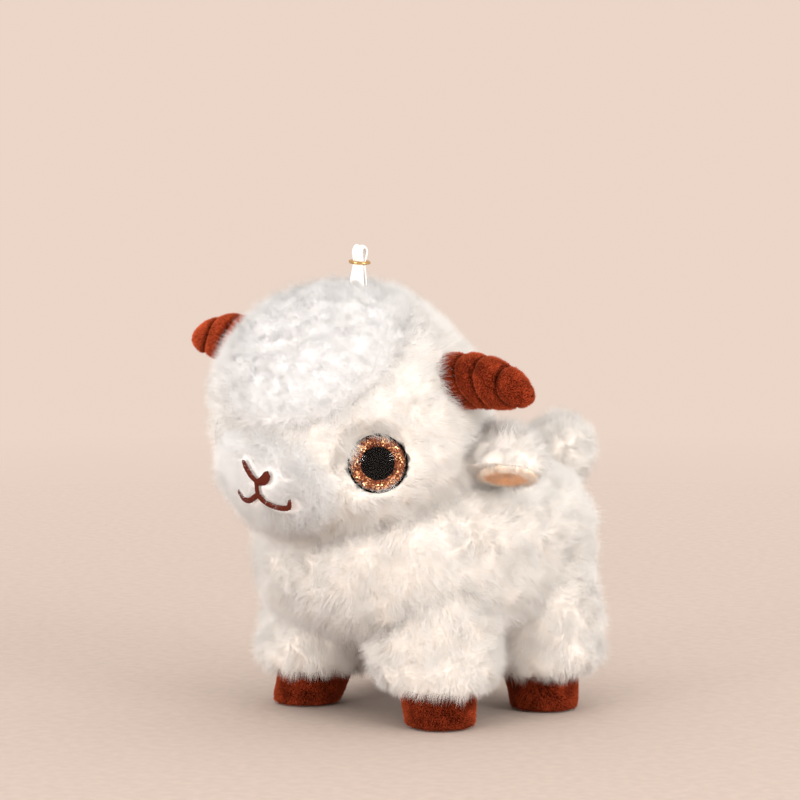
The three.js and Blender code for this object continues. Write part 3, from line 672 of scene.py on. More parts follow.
def fit(piece: bpy.types.Object, body: str, slot: str, *nodes: str) -> bpy.types.Object:
    """Mounts a piece on the frame.

    Args:
        piece: The piece.
        body: The body that it moves with.
        slot: The record's material slot. It is not used.
        nodes: The nodes that it stands for.

    Returns:
        The piece.
    """
    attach(piece, body)
    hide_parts(*nodes)
    return piece


# Hair


@dataclass(frozen=True)
class Pile:
    """How the hairs of a cloth grow. Lengths are in millimetres."""

    per_mm2: float = 5.0
    width: float = 0.16
    clump_gap: float = 3.2
    clumping: float = 0.6
    length_spread: float = 0.25
    jitter: float = 0.35
    droop: float = 0.1
    curl_radius: float = 0.0
    curl_turns: float = 1.0
    wave: float = 0.8
    softness: float = 0.6
    segments: int = 2
    seed: int = 1


LONG = Pile(
    per_mm2=12.5, width=0.034, clump_gap=3.2, clumping=0.3, jitter=0.75, softness=1.0, wave=2.4, segments=1
)


def hair_blank(segments: int) -> bpy.types.Object:
    """A three-sided tapering hair whose shape is kept as shares: across, across and up.

    Args:
        segments: How many lengths it is made of.

    Returns:
        The object.
    """
    rows = []
    for step in range(segments):
        height = step / segments
        width = (1 - height) ** 0.55
        rows += [
            (width * math.cos(turn), width * math.sin(turn), height)
            for turn in (0, 2 * math.pi / 3, 4 * math.pi / 3)
        ]
    rows.append((0.0, 0.0, 1.0))
    faces = []
    for step in range(segments - 1):
        low = 3 * step
        for side in range(3):
            after = (side + 1) % 3
            faces.append((low + side, low + after, low + after + 3, low + side + 3))
    low = 3 * (segments - 1)
    faces += [(low + side, low + (side + 1) % 3, low + 3) for side in range(3)]
    blank = new_object(f"hair_blank_{segments}", np.array(rows) / MM, faces)
    shape = blank.data.attributes.new("shape", "FLOAT_VECTOR", "POINT")
    shape.data.foreach_set("vector", np.array(rows, np.float32).ravel())
    return blank


class HairTree:
    """The node tree that grows hair on a skin, and the inputs by which each cloth sets it."""

    def __init__(self) -> None:
        """Builds the tree."""
        tree = bpy.data.node_groups.new("grow_hair", "GeometryNodeTree")
        self.tree = tree
        face = tree.interface
        self.ids: dict[str, str] = {}
        for name, kind in (
            ("Skin", "NodeSocketGeometry"),
            ("Density", "NodeSocketFloat"),
            ("Width", "NodeSocketFloat"),
            ("Clump Gap", "NodeSocketFloat"),
            ("Clumping", "NodeSocketFloat"),
            ("Length Spread", "NodeSocketFloat"),
            ("Jitter", "NodeSocketFloat"),
            ("Droop", "NodeSocketFloat"),
            ("Curl Radius", "NodeSocketFloat"),
            ("Curl Turns", "NodeSocketFloat"),
            ("Wave", "NodeSocketFloat"),
            ("Softness", "NodeSocketFloat"),
            ("Seed", "NodeSocketInt"),
            ("Hair", "NodeSocketObject"),
            ("Material", "NodeSocketMaterial"),
        ):
            self.ids[name] = face.new_socket(name, in_out="INPUT", socket_type=kind).identifier
        face.new_socket("Geometry", in_out="OUTPUT", socket_type="NodeSocketGeometry")
        self.flow = Flow(tree)
        self.given = self.flow.node("NodeGroupInput")
        self._build()

    def _in(self, name: str) -> Term:
        """One of the tree's inputs."""
        return Term(self.flow, self.given.outputs[name])

    def _read(self, name: str, kind: str = "FLOAT_VECTOR") -> Term:
        """A named attribute."""
        node = self.flow.node("GeometryNodeInputNamedAttribute", {"data_type": kind}, {"Name": name})
        return self.flow.out(node, "Attribute")

    def _keep(self, shape: Value, name: str, value: Value, kind: str = "FLOAT_VECTOR") -> Term:
        """Stores an attribute on the points and gives the geometry."""
        node = self.flow.node(
            "GeometryNodeStoreNamedAttribute",
            {"data_type": kind, "domain": "POINT"},
            {"Geometry": shape, "Name": name, "Value": value},
        )
        return self.flow.out(node)

    def _chance(self, turn: int, kind: str = "FLOAT", low: Value = 0.0, high: Value = 1.0) -> Term:
        """A random number or vector for each element."""
        seed = self._in("Seed") * 10 + turn
        node = self.flow.node("FunctionNodeRandomValue", {"data_type": kind}, {"Min": low, "Max": high, "Seed": seed})
        return self.flow.out(node)

    def _from_clump(self, clumps: Term, near: Term, value: Term, kind: str = "FLOAT_VECTOR") -> Term:
        """What the nearest clump has for a value."""
        node = self.flow.node(
            "GeometryNodeSampleIndex",
            {"data_type": kind, "domain": "POINT"},
            {"Geometry": clumps, "Value": value, "Index": near},
        )
        return self.flow.out(node)

    def _direction(self, normal: Term, turn: int) -> Term:
        """Where a hair points: out of the skin, combed and a little astray."""
        stray = self._chance(turn, "FLOAT_VECTOR", (-1, -1, -1), (1, 1, 1)) * self._in("Jitter")
        return self.flow.vector("NORMALIZE", normal + self._read("comb") + stray)

    def _build(self) -> None:
        """Adds the nodes."""
        flow = self.flow
        skin = self._in("Skin")
        place = flow.out(flow.node("GeometryNodeInputPosition"))
        cover = self._read("cover", "FLOAT")
        pile = self._read("pile", "FLOAT")

        gap = self._in("Clump Gap")
        sown = flow.node(
            "GeometryNodeDistributePointsOnFaces",
            {"distribute_method": "POISSON"},
            {"Mesh": skin, "Distance Min": gap, "Density Max": 1.5 / (gap * gap), "Seed": self._in("Seed")},
        )
        clumps = flow.out(sown, "Points")
        normal = flow.out(sown, "Normal")
        clumps = self._keep(clumps, "tip", place + self._direction(normal, 1) * pile)
        clumps = self._keep(clumps, "phase", self._chance(2), "FLOAT")

        sown = flow.node(
            "GeometryNodeDistributePointsOnFaces",
            {"distribute_method": "RANDOM"},
            {"Mesh": skin, "Density": self._in("Density") * cover, "Seed": self._in("Seed") + 1},
        )
        roots = flow.out(sown, "Points")
        normal = flow.out(sown, "Normal")
        near = flow.out(
            flow.node("GeometryNodeSampleNearest", inputs={"Geometry": clumps, "Sample Position": place})
        )
        clump_root = self._from_clump(clumps, near, place)
        clump_tip = self._from_clump(clumps, near, self._read("tip"))
        clump_phase = self._from_clump(clumps, near, self._read("phase", "FLOAT"), "FLOAT")
        length = 1 + (self._chance(3) - 0.65) * self._in("Length Spread") * 2
        roots = self._keep(roots, "root", place)
        roots = self._keep(roots, "out", normal)
        roots = self._keep(roots, "axis", self._direction(normal, 4) * (pile * length))
        roots = self._keep(roots, "pull", (clump_tip - place + (place - clump_root) * 0.3) * length)
        roots = self._keep(roots, "phase", clump_phase + self._chance(5) * 0.2, "FLOAT")
        shade = self._read("shade", "FLOAT")
        tone = shade * 0.6 + self._chance(6) * 0.25 + clump_phase * 0.15
        roots = self._keep(roots, "tone", tone, "FLOAT")
        skin = self._keep(skin, "tone", shade, "FLOAT")

        blank = flow.node("GeometryNodeObjectInfo", inputs={"Object": self._in("Hair")})
        planted = flow.node(
            "GeometryNodeInstanceOnPoints", inputs={"Points": roots, "Instance": flow.out(blank, "Geometry")}
        )
        hair = flow.out(flow.node("GeometryNodeRealizeInstances", inputs={0: flow.out(planted)}))

        across, along, height = flow.parts(self._read("shape"))
        axis = self._read("axis")
        outward = self._read("out")
        stem = flow.mix(self._in("Clumping") * height, axis, self._read("pull")) * height
        sag = flow.vec(0.0, 0.0, -1.0) * (self._in("Droop") * flow.out(
            flow.node("ShaderNodeVectorMath", {"operation": "LENGTH"}, {0: axis}), "Value"
        ) * height * height)
        first = flow.vector("NORMALIZE", flow.vector("CROSS_PRODUCT", axis, (0.31, 0.55, 0.77)))
        second = flow.vector("NORMALIZE", flow.vector("CROSS_PRODUCT", axis, first))
        angle = (self._in("Curl Turns") * height + self._read("phase", "FLOAT")) * (2 * math.pi)
        curl = (first * flow.math("COSINE", angle) + second * flow.math("SINE", angle)) * (
            self._in("Curl Radius") * height
        )
        swirl = flow.grain(self._read("root") * 260.0 + outward * height, 1.0, 1.0, "Color")
        wave = (swirl - (0.5, 0.5, 0.5)) * (self._in("Wave") * height)
        rim = first * across + second * along
        spot = self._read("root") + stem + sag + curl + wave + rim * self._in("Width")
        hair = flow.out(flow.node("GeometryNodeSetPosition", inputs={"Geometry": hair, "Position": spot}))
        hair = flow.out(flow.node("GeometryNodeSetShadeSmooth", inputs={"Geometry": hair}))
        soft = flow.vector("NORMALIZE", flow.mix(self._in("Softness"), rim, outward))
        hair = flow.out(
            flow.node(
                "GeometryNodeSetMeshNormal",
                {"mode": "FREE", "domain": "POINT"},
                {"Mesh": hair, "Custom Normal": soft},
            )
        )
        both = flow.node("GeometryNodeJoinGeometry")
        flow.tree.links.new(hair.socket, both.inputs[0])
        flow.tree.links.new(skin.socket, both.inputs[0])
        chart = flow.vec(self._read("tone", "FLOAT") * 0.92 + 0.04 + across * 0.03, height, 0.0)
        mapped = flow.node(
            "GeometryNodeStoreNamedAttribute",
            {"data_type": "FLOAT2", "domain": "CORNER"},
            {"Geometry": flow.out(both), "Name": "OFBake", "Value": chart},
        )
        whole = flow.out(flow.node("GeometryNodeRealizeInstances", inputs={0: flow.out(mapped)}))
        dressed = flow.node(
            "GeometryNodeSetMaterial", inputs={"Geometry": whole, "Material": self._in("Material")}
        )
        flow.node("NodeGroupOutput", inputs={0: flow.out(dressed)})


class Cloth:
    """Grows hair on skins."""

    def __init__(self) -> None:
        """Makes the tree and the hairs that it plants."""
        self.tree = HairTree()
        self.blanks: dict[int, bpy.types.Object] = {}

    def grow(self, skin: bpy.types.Object, pile: Pile, material: bpy.types.Material) -> bpy.types.Object:
        """Grows hair on a skin and makes the two one mesh.

        Args:
            skin: An object whose points have comb, pile and cover.
            pile: How the hair grows.
            material: What the piece is made of.

        Returns:
            The finished piece, which keeps the skin's name.
        """
        if pile.segments not in self.blanks:
            self.blanks[pile.segments] = hair_blank(pile.segments)
        modifier = skin.modifiers.new("hair", "NODES")
        modifier.node_group = self.tree.tree
        settings = {
            "Density": pile.per_mm2 / MM**2,
            "Width": pile.width * MM,
            "Clump Gap": pile.clump_gap * MM,
            "Clumping": pile.clumping,
            "Length Spread": pile.length_spread,
            "Jitter": pile.jitter,
            "Droop": pile.droop,
            "Curl Radius": pile.curl_radius * MM,
            "Curl Turns": pile.curl_turns,
            "Wave": pile.wave * MM,
            "Softness": pile.softness,
            "Seed": pile.seed,
            "Hair": self.blanks[pile.segments],
            "Material": material,
        }
        for name, value in settings.items():
            modifier[self.tree.ids[name]] = value
        grown = finished_mesh(skin)
        skin.modifiers.clear()
        skin.data = grown
        for name in ("root", "axis", "pull", "shape", "comb", "out", "pile", "cover", "shade", "tone", "phase"):
            layer = grown.attributes.get(name)
            if layer is not None:
                grown.attributes.remove(layer)
        grown.name = skin.name
        return skin

    def done(self) -> None:
        """Removes the hairs that were planted from."""
        for blank in self.blanks.values():
            bpy.data.objects.remove(blank)


# Skins


@dataclass
class Skin:
    """The cloth under a piece's pile, in millimetres: its mesh, and how the pile lies on it."""

    name: str
    places: np.ndarray
    faces: np.ndarray
    out: np.ndarray
    comb: np.ndarray
    pile: np.ndarray
    cover: np.ndarray
    shade: np.ndarray

    @classmethod
    def on(cls, name: str, places: np.ndarray, faces: np.ndarray, out: np.ndarray, pile: float) -> "Skin":
        """Starts a skin with an even, uncombed pile.

        Args:
            name: The piece's name.
            places: The corners.
            faces: The corner numbers of each face.
            out: The outward direction at each corner.
            pile: The pile's length.

        Returns:
            The skin.
        """
        count = len(places)
        return cls(
            name, places, faces, out, np.zeros((count, 3)), np.full(count, pile), np.ones(count), np.full(count, 0.5)
        )

    @classmethod
    def of_form(cls, name: str, form: SoftForm, inset: float, pile: float, levels: int = 5) -> "Skin":
        """A skin that follows a whole form, inset by a length."""
        toward, faces = ball(levels)
        places = form.points(toward, inset)
        out = corner_normals(places, faces)
        return cls.on(name, places, faces, out, pile)

    def add_comb(self, direction: np.ndarray, strength: float | np.ndarray = 1.0) -> None:
        """Leans the pile towards a direction, one for all corners or one for each."""
        lean = np.broadcast_to(direction, self.places.shape) * np.reshape(strength, (-1, 1))
        self.comb = self.comb + lean

    def part_round(self, middle: np.ndarray, radius: float, reach: float, strength: float) -> None:
        """Combs the pile away from a place and bares the skin within a radius of it.

        Args:
            middle: The place.
            radius: How far the skin is bare.
            reach: How far past that the combing is felt.
            strength: How strongly the pile leans at the bare patch's edge.
        """
        away = self.places - middle
        distance = np.linalg.norm(away, axis=1)
        felt = np.exp(-(np.clip(distance - radius, 0, None) / reach) ** 2)
        self.add_comb(unit(away), strength * felt)
        self.cover = self.cover * smooth_step(radius - 0.3, radius + 0.3, distance)

    def bare(self, depth: np.ndarray, soft: float = 0.6) -> None:
        """Bares the skin where a depth is below zero."""
        self.cover = self.cover * smooth_step(-soft, soft, depth)

    def sink(self, spot: Matrix, radius: float, depth: float) -> None:
        """Presses the skin in behind a round piece.

        Args:
            spot: The piece's frame, with +Z outwards.
            radius: The piece's radius.
            depth: How far behind the frame's origin the skin lies there.
        """
        local = to_frame(spot.inverted(), self.places)
        reach = np.hypot(local[:, 0], local[:, 1])
        near = local[:, 2] > -9
        border = near & (reach >= radius) & (reach < radius + 0.65)
        local[border, :2] *= ((radius + 0.03) / reach[border])[:, None]
        crest = 0.25 + 2.0 * smooth_step(radius + 0.5, radius + 4.0, reach)
        local[:, 2] = np.where(near & (reach < radius + 4.0), np.minimum(local[:, 2], crest), local[:, 2])
        local[:, 2] = np.where(near & (reach < radius), np.minimum(local[:, 2], -depth), local[:, 2])
        self.places = to_frame(spot, local)

    def settle(self) -> None:
        """Keeps the comb along the skin."""
        self.comb = self.comb - (self.comb * self.out).sum(1)[:, None] * self.out

    def thing(self) -> bpy.types.Object:
        """Makes the skin's object, with its comb, pile and cover as fields."""
        self.settle()
        made = new_object(self.name, self.places, self.faces)
        fields = {"comb": self.comb, "pile": self.pile * MM, "cover": self.cover, "shade": self.shade}
        for name, values in fields.items():
            kind, key = ("FLOAT_VECTOR", "vector") if values.ndim == 2 else ("FLOAT", "value")
            layer = made.data.attributes.new(name, kind, "POINT")
            layer.data.foreach_set(key, values.astype(np.float32).ravel())
        return made


def corner_normals(places: np.ndarray, faces: Sequence[Sequence[int]]) -> np.ndarray:
    """The outward direction at each corner of a mesh of triangles or quads."""
    normals = np.zeros_like(places)
    for face in faces:
        row = places[list(face)]
        across = np.cross(row[2] - row[0], row[-1] - row[1]) if len(face) == 4 else np.cross(
            row[1] - row[0], row[2] - row[0]
        )
        normals[list(face)] += across
    return unit(normals)


def patch(
    toward: np.ndarray, faces: np.ndarray, keep: np.ndarray
) -> tuple[np.ndarray, np.ndarray]:
    """The part of a mesh whose corners are all kept.

    Args:
        toward: The mesh's corners.
        faces: Its triangles.
        keep: Whether each corner is kept.

    Returns:
        The corners and triangles that are left.
    """
    whole = keep[faces].all(1)
    used = np.unique(faces[whole])
    number = np.full(len(toward), -1)
    number[used] = np.arange(len(used))
    return toward[used], number[faces[whole]]


def closed_shell(
    front: np.ndarray, back: np.ndarray, faces: np.ndarray
) -> tuple[np.ndarray, list[tuple[int, ...]]]:
    """Closes a patch with a back and a border.

    Args:
        front: The corners of the front.
        back: The corners of the back, one behind each of the front.
        faces: The front's faces.

    Returns:
        All the corners and all the faces.
    """
    count = len(front)
    shell = [tuple(map(int, face)) for face in faces]
    shell += [tuple(int(corner) + count for corner in reversed(face)) for face in faces]
    edges = {
        (int(face[place]), int(face[(place + 1) % len(face)])) for face in faces for place in range(len(face))
    }
    shell += [(b, a, a + count, b + count) for a, b in edges if (b, a) not in edges]
    return np.concatenate([front, back]), shell


def tube_mesh(
    middles: np.ndarray,
    radii: np.ndarray,
    sides: int,
    flat: float | np.ndarray = 1.0,
    up: Point | np.ndarray = (0, 0, 1),
) -> tuple[np.ndarray, list[tuple[int, ...]], np.ndarray]:
    """A closed tube along a row of points, whose ends are rounded off by its radii.

    Args:
        middles: The middle of each ring.
        radii: The radius of each ring, or of each ring's each side.
        sides: How many sides it has.
        flat: The share of the radius that is left upwards, one or one for each ring.
        up: The direction that counts as up, one or one for each ring.

    Returns:
        The corners, the faces and the outward direction of each corner.
    """
    along = unit(np.gradient(middles, axis=0))
    across = unit(np.cross(np.broadcast_to(np.array(up, float), along.shape), along))
    above = np.cross(along, across)
    turns = 2 * np.pi * np.arange(sides) / sides
    radii = np.reshape(radii, (len(middles), -1, 1))
    spokes = (
        across[:, None, :] * np.cos(turns)[None, :, None]
        + np.reshape(flat, (-1, 1, 1)) * above[:, None, :] * np.sin(turns)[None, :, None]
    )
    rings = middles[:, None, :] + spokes * radii
    places = np.concatenate([rings.reshape(-1, 3), middles[:1], middles[-1:]])
    faces: list[tuple[int, ...]] = []
    first, last = len(places) - 2, len(places) - 1
    rows = len(middles)
    for side in range(sides):
        after = (side + 1) % sides
        for ring in range(rows - 1):
            low, high = ring * sides, (ring + 1) * sides
            faces.append((low + side, low + after, high + after, high + side))
        faces.append((first, after, side))
        faces.append((last, (rows - 1) * sides + side, (rows - 1) * sides + after))
    out = np.concatenate([unit(spokes).reshape(-1, 3), -along[:1], along[-1:]])
    return places, faces, out


def lathe_mesh(profile: Sequence[tuple[float, float]], sides: int) -> tuple[np.ndarray, list[tuple[int, ...]]]:
    """A profile turned about +Z, closed at its ends on the axis.

    Args:
        profile: Radius and height of each ring, from the lower end on the axis to the upper one.
        sides: How many sides it has.

    Returns:
        The corners and the faces.
    """
    turns = 2 * np.pi * np.arange(sides) / sides
    rings = [
        np.stack([radius * np.cos(turns), radius * np.sin(turns), np.full(sides, height)], 1)
        for radius, height in profile[1:-1]
    ]
    ends = [(0, 0, profile[0][1]), (0, 0, profile[-1][1])]
    places = np.concatenate([*rings, np.array(ends, float)])
    rows = len(rings)
    first, last = rows * sides, rows * sides + 1
    faces: list[tuple[int, ...]] = []
    for side in range(sides):
        after = (side + 1) % sides
        for ring in range(rows - 1):
            low, high = ring * sides, (ring + 1) * sides
            faces.append((low + side, low + after, high + after, high + side))
        faces.append((first, after, side))
        faces.append((last, (rows - 1) * sides + side, (rows - 1) * sides + after))
    return places, faces


def smooth_row(stops: Sequence[Sequence[float]], count: int) -> np.ndarray:
    """Points of a smooth curve through stops.

    Args:
        stops: The stops, a row each.
        count: How many points.

    Returns:
        The points, evenly spread over the stops.
    """
    rows = np.array(stops, float)
    rows = np.concatenate([2 * rows[:1] - rows[1:2], rows, 2 * rows[-1:] - rows[-2:-1]])
    spots = np.linspace(0, len(stops) - 1, count)
    found = []
    for spot in spots:
        low = min(int(spot), len(stops) - 2)
        t = spot - low
        a, b, c, d = rows[low : low + 4]
        found.append(
            0.5 * (2 * b + (c - a) * t + (2 * a - 5 * b + 4 * c - d) * t * t + (3 * b - a - 3 * c + d) * t**3)
        )
    return np.array(found)


# Places


HEAD_FRAME = (
    Matrix.Translation((0.0116, -23.9896, 73.0))
    @ Matrix.Rotation(0.171, 4, "Z")
    @ Matrix.Rotation(0.098, 4, "Y")
    @ Matrix.Rotation(0.024, 4, "X")
)
NOSE_TOWARD = (0.0, -math.cos(0.4), -math.sin(0.4))
HEAD_FORM = SoftForm((34.5, 31.0, 32.0), HEAD_FRAME, 2.0, (Swell(NOSE_TOWARD, 5.0, 0.53),))
MUZZLE_FORM = SoftForm((17.0, 14.0, 12.5), HEAD_FRAME @ Matrix.Translation((0.0, -33.3, -14.08)))
CURL_FORM = SoftForm((23.5, 27.5, 24.5), HEAD_FRAME @ Matrix.Translation((-0.5, -17.0, 21.0)))
TRUNK_FORM = SoftForm((33.5, 41.0, 23.5), Matrix.Translation((0.0116, 2.3104, 40.5)), 2.7)
TAIL_FRAME = Matrix.Translation((0.0116, 40.3096, 53.0925)) @ Matrix.Rotation(0.634, 4, "X")
TAIL_FORM = SoftForm((8.8, 12.0, 8.8), TAIL_FRAME @ Matrix.Translation((0.0, 10.4, 0.0)))
LOOP_ROOT = HEAD_FRAME @ Vector((0.0, 0.5, 27.6))
DOWN = np.array((0.0, 0.0, -1.0))


def eye_frame(side: Side) -> Matrix:
    """An eye's own frame: its origin in the middle of the rim, +Z looking out."""
    return (
        HEAD_FRAME
        @ Matrix.Translation((side.value * 22.3, -17.7, -5.6))
        @ Matrix.Rotation(side.value * 0.66, 4, "Z")
        @ Matrix.Rotation(math.pi / 2, 4, "X")
    )


def ear_frame(side: Side) -> Matrix:
    """An ear's own frame, mirrored on the right: its origin on the hinge, +X out to the tip, +Z up."""
    mirror = Matrix.Diagonal((side.value, 1, 1, 1))
    return HEAD_FRAME @ mirror @ Matrix.Translation((29.5, 8.9, -8.4)) @ Matrix.Rotation(-0.45, 4, "X")


def horn_middles(side: Side, count: int) -> np.ndarray:
    """The middle line of a horn, root to tip."""
    row = smooth_row([(21.0, 2.4, 10.8), (35.7, 2.4, 14.0), (50.4, 2.4, 12.4)], count)
    row[:, 0] *= side.value
    return to_frame(HEAD_FRAME, row)


# The head


@dataclass
class Head:
    """The head's long pile, its short face and its curly forelock."""

    skin_inset: float = 1.8
    pile: float = 4.8
    face_inset: float = 0.6
    face_pile: float = 2.0
    curl_inset: float = 0.2
    curl_pile: float = 2.8

    def _open_for_pieces(self, skin: Skin) -> None:
        """Bares and parts the pile where eyes, horns, ears and the loop come through."""
        for side in Side:
            eye = eye_frame(side)
            skin.part_round(np.array(eye.translation), 6.9, 3.0, 0.8)
            skin.sink(eye, 7.0, 2.4)
            root = horn_middles(side, 30)
            near = root[9]
            skin.part_round(near, 6.0, 3.0, 0.2)
            felt = np.exp(-(np.linalg.norm(skin.places - near, axis=1) / 10.0) ** 2)
            skin.add_comb(unit(root[20] - root[9]), 0.8 * felt)
            ear = ear_frame(side)
            skin.part_round(np.array(ear @ Vector((-1.0, 0, 1.0))), 2.5, 3.5, 0.3)
        skin.part_round(np.array(LOOP_ROOT), 3.2, 1.5, 0.2)

    def build_fur(self, cloth: Cloth, finish: bpy.types.Material) -> bpy.types.Object:
        """Grows the head's long pile.

        Args:
            cloth: What grows the hair.
            finish: The wool.

        Returns:
            The piece.
        """
        toward, faces = ball(6)
        plain = HEAD_FORM.points(toward, self.skin_inset)
        covered = np.minimum(MUZZLE_FORM.depth(plain), CURL_FORM.depth(plain))
        places = HEAD_FORM.points(toward, self.skin_inset + 2.6 * smooth_step(-1.0, -4.5, covered))
        skin = Skin.on("head_fur", places, faces, corner_normals(places, faces), self.pile)
        rise = lumps(places, 8, 1) * 0.5 + (tufts(places, 7, 1) * 1.5 - 0.5) * smooth_step(0, 6, covered)
        rise += 0.9 * smooth_step(5.0, 0.5, covered) * smooth_step(-1.5, 0.0, covered)
        skin.places = places + skin.out * rise[:, None]
        nose = np.array(HEAD_FRAME.to_3x3() @ Vector(NOSE_TOWARD))
        muzzle = MUZZLE_FORM.depth(skin.places)
        nearby = 1.6 * smooth_step(7, 0, muzzle) - 0.4
        skin.add_comb(unit(to_frame(HEAD_FRAME, np.array([NOSE_TOWARD]) * 30) - skin.places), nearby)
        skin.add_comb(-nose, 0.1)
        skin.add_comb(DOWN, 0.15)
        skin.add_comb(drift(skin.places, 5, 2), 1.0)
        skin.pile = skin.pile * (0.6 + 0.4 * smooth_step(-1, 9, muzzle))
        skin.shade = np.clip(0.5 + 0.35 * lumps(places, 9, 4) + 0.6 * smooth_step(9, 0, CURL_FORM.depth(places)), 0, 1)
        skin.bare(covered + 1.2)
        skin.bare(TRUNK_FORM.depth(skin.places) + 3.5)
        self._open_for_pieces(skin)
        pile = replace(LONG, seed=3)
        piece = cloth.grow(skin.thing(), pile, finish)
        return fit(piece, "head", "wool", "head_cover")

    def _panel(self, name: str, form: SoftForm, inset: float, pile: float, longer: float, levels: int) -> Skin:
        """A sewn-in panel of the head whose border dives under the long pile.

        Args:
            name: The piece's name.
            form: What the panel's outline is cut by.
            inset: How far inside the head's own surface it lies.
            pile: The pile's length.
            longer: By what share the pile is longer at the border.
            levels: How finely the head is divided.

        Returns:
            The panel's skin, with a bare back.
        """
        edge = self.skin_inset + 0.9
        toward, faces = ball(levels)
        depth = form.depth(HEAD_FORM.points(toward, inset))
        toward, faces = patch(toward, faces, depth < 1.2)
        depth = form.depth(HEAD_FORM.points(toward, inset))
        rise = smooth_step(-1.4, 1.6, depth)
        front = HEAD_FORM.points(toward, inset + (edge - inset) * rise)
        back = HEAD_FORM.points(toward, edge + 1.2)
        places, shell = closed_shell(front, back, faces)
        out = np.concatenate([corner_normals(front, faces), -corner_normals(back, faces)])
        skin = Skin.on(name, places, np.array(shell, dtype=object), out, pile)
        skin.pile = skin.pile * (1 + longer * smooth_step(-7.0, 0.0, np.concatenate([depth, depth])))
        skin.bare(np.concatenate([0.5 - depth, np.full(len(back), -9.0)]))
        return skin

    def build_face(
        self, cloth: Cloth, finish: bpy.types.Material, embroidery: "Embroidery"
    ) -> bpy.types.Object:
        """Grows the short pile of the muzzle, pressed flat where it is sewn over.

        Args:
            cloth: What grows the hair.
            finish: The wool of the face.
            embroidery: The nose and the mouth.

        Returns:
            The piece.
        """
        skin = self._panel("face_fur", MUZZLE_FORM, self.face_inset, self.face_pile, 1.3, 7)
        middle = to_frame(HEAD_FRAME, np.array([NOSE_TOWARD]) * 36)
        skin.add_comb(unit(skin.places - middle), 0.4)
        skin.add_comb(drift(skin.places, 4, 5), 0.6)
        skin.places = skin.places + skin.out * (lumps(skin.places, 5, 19) * 0.25)[:, None]
        skin.bare(embroidery.distance(skin.places) - 0.8, 0.3)
        pile = replace(LONG, per_mm2=36.0, clump_gap=2.0, clumping=0.25, jitter=0.7, wave=0.6, seed=5)
        piece = cloth.grow(skin.thing(), pile, finish)
        return fit(piece, "head", "face", "face_panel")

    def build_forelock(self, cloth: Cloth, finish: bpy.types.Material) -> bpy.types.Object:
        """Grows the curls of the crown and brow.

        Args:
            cloth: What grows the hair.
            finish: The curly wool.

        Returns:
            The piece.
        """
        skin = self._panel("forelock_fur", CURL_FORM, self.curl_inset, self.curl_pile, 0.9, 6)
        front = skin.places
        puffs = tufts(front, 5.4, 8) * 1.3 + tufts(front, 3.2, 18) * 0.35 + lumps(front, 9, 28) * 0.5 - 0.7
        border = CURL_FORM.depth(front)
        puffs *= 0.35 + 0.65 * smooth_step(0.5, -5.0, border)
        skin.places = front + skin.out * (puffs * (skin.cover > 0.5))[:, None]
        skin.out = corner_normals(skin.places, skin.faces)
        skin.shade = np.clip(1.0 - 0.6 * smooth_step(-9, 0, border) + 0.2 * lumps(front, 6, 6), 0, 1)
        skin.add_comb(drift(front, 3.2, 9), 0.8)
        self._open_for_pieces(skin)
        pile = replace(LONG, per_mm2=22.0, clump_gap=1.8, clumping=0.25, jitter=1.0, wave=1.6, seed=7)
        piece = cloth.grow(skin.thing(), pile, finish)
        return fit(piece, "head", "curl", "forelock")


# The trunk, the legs and the tail


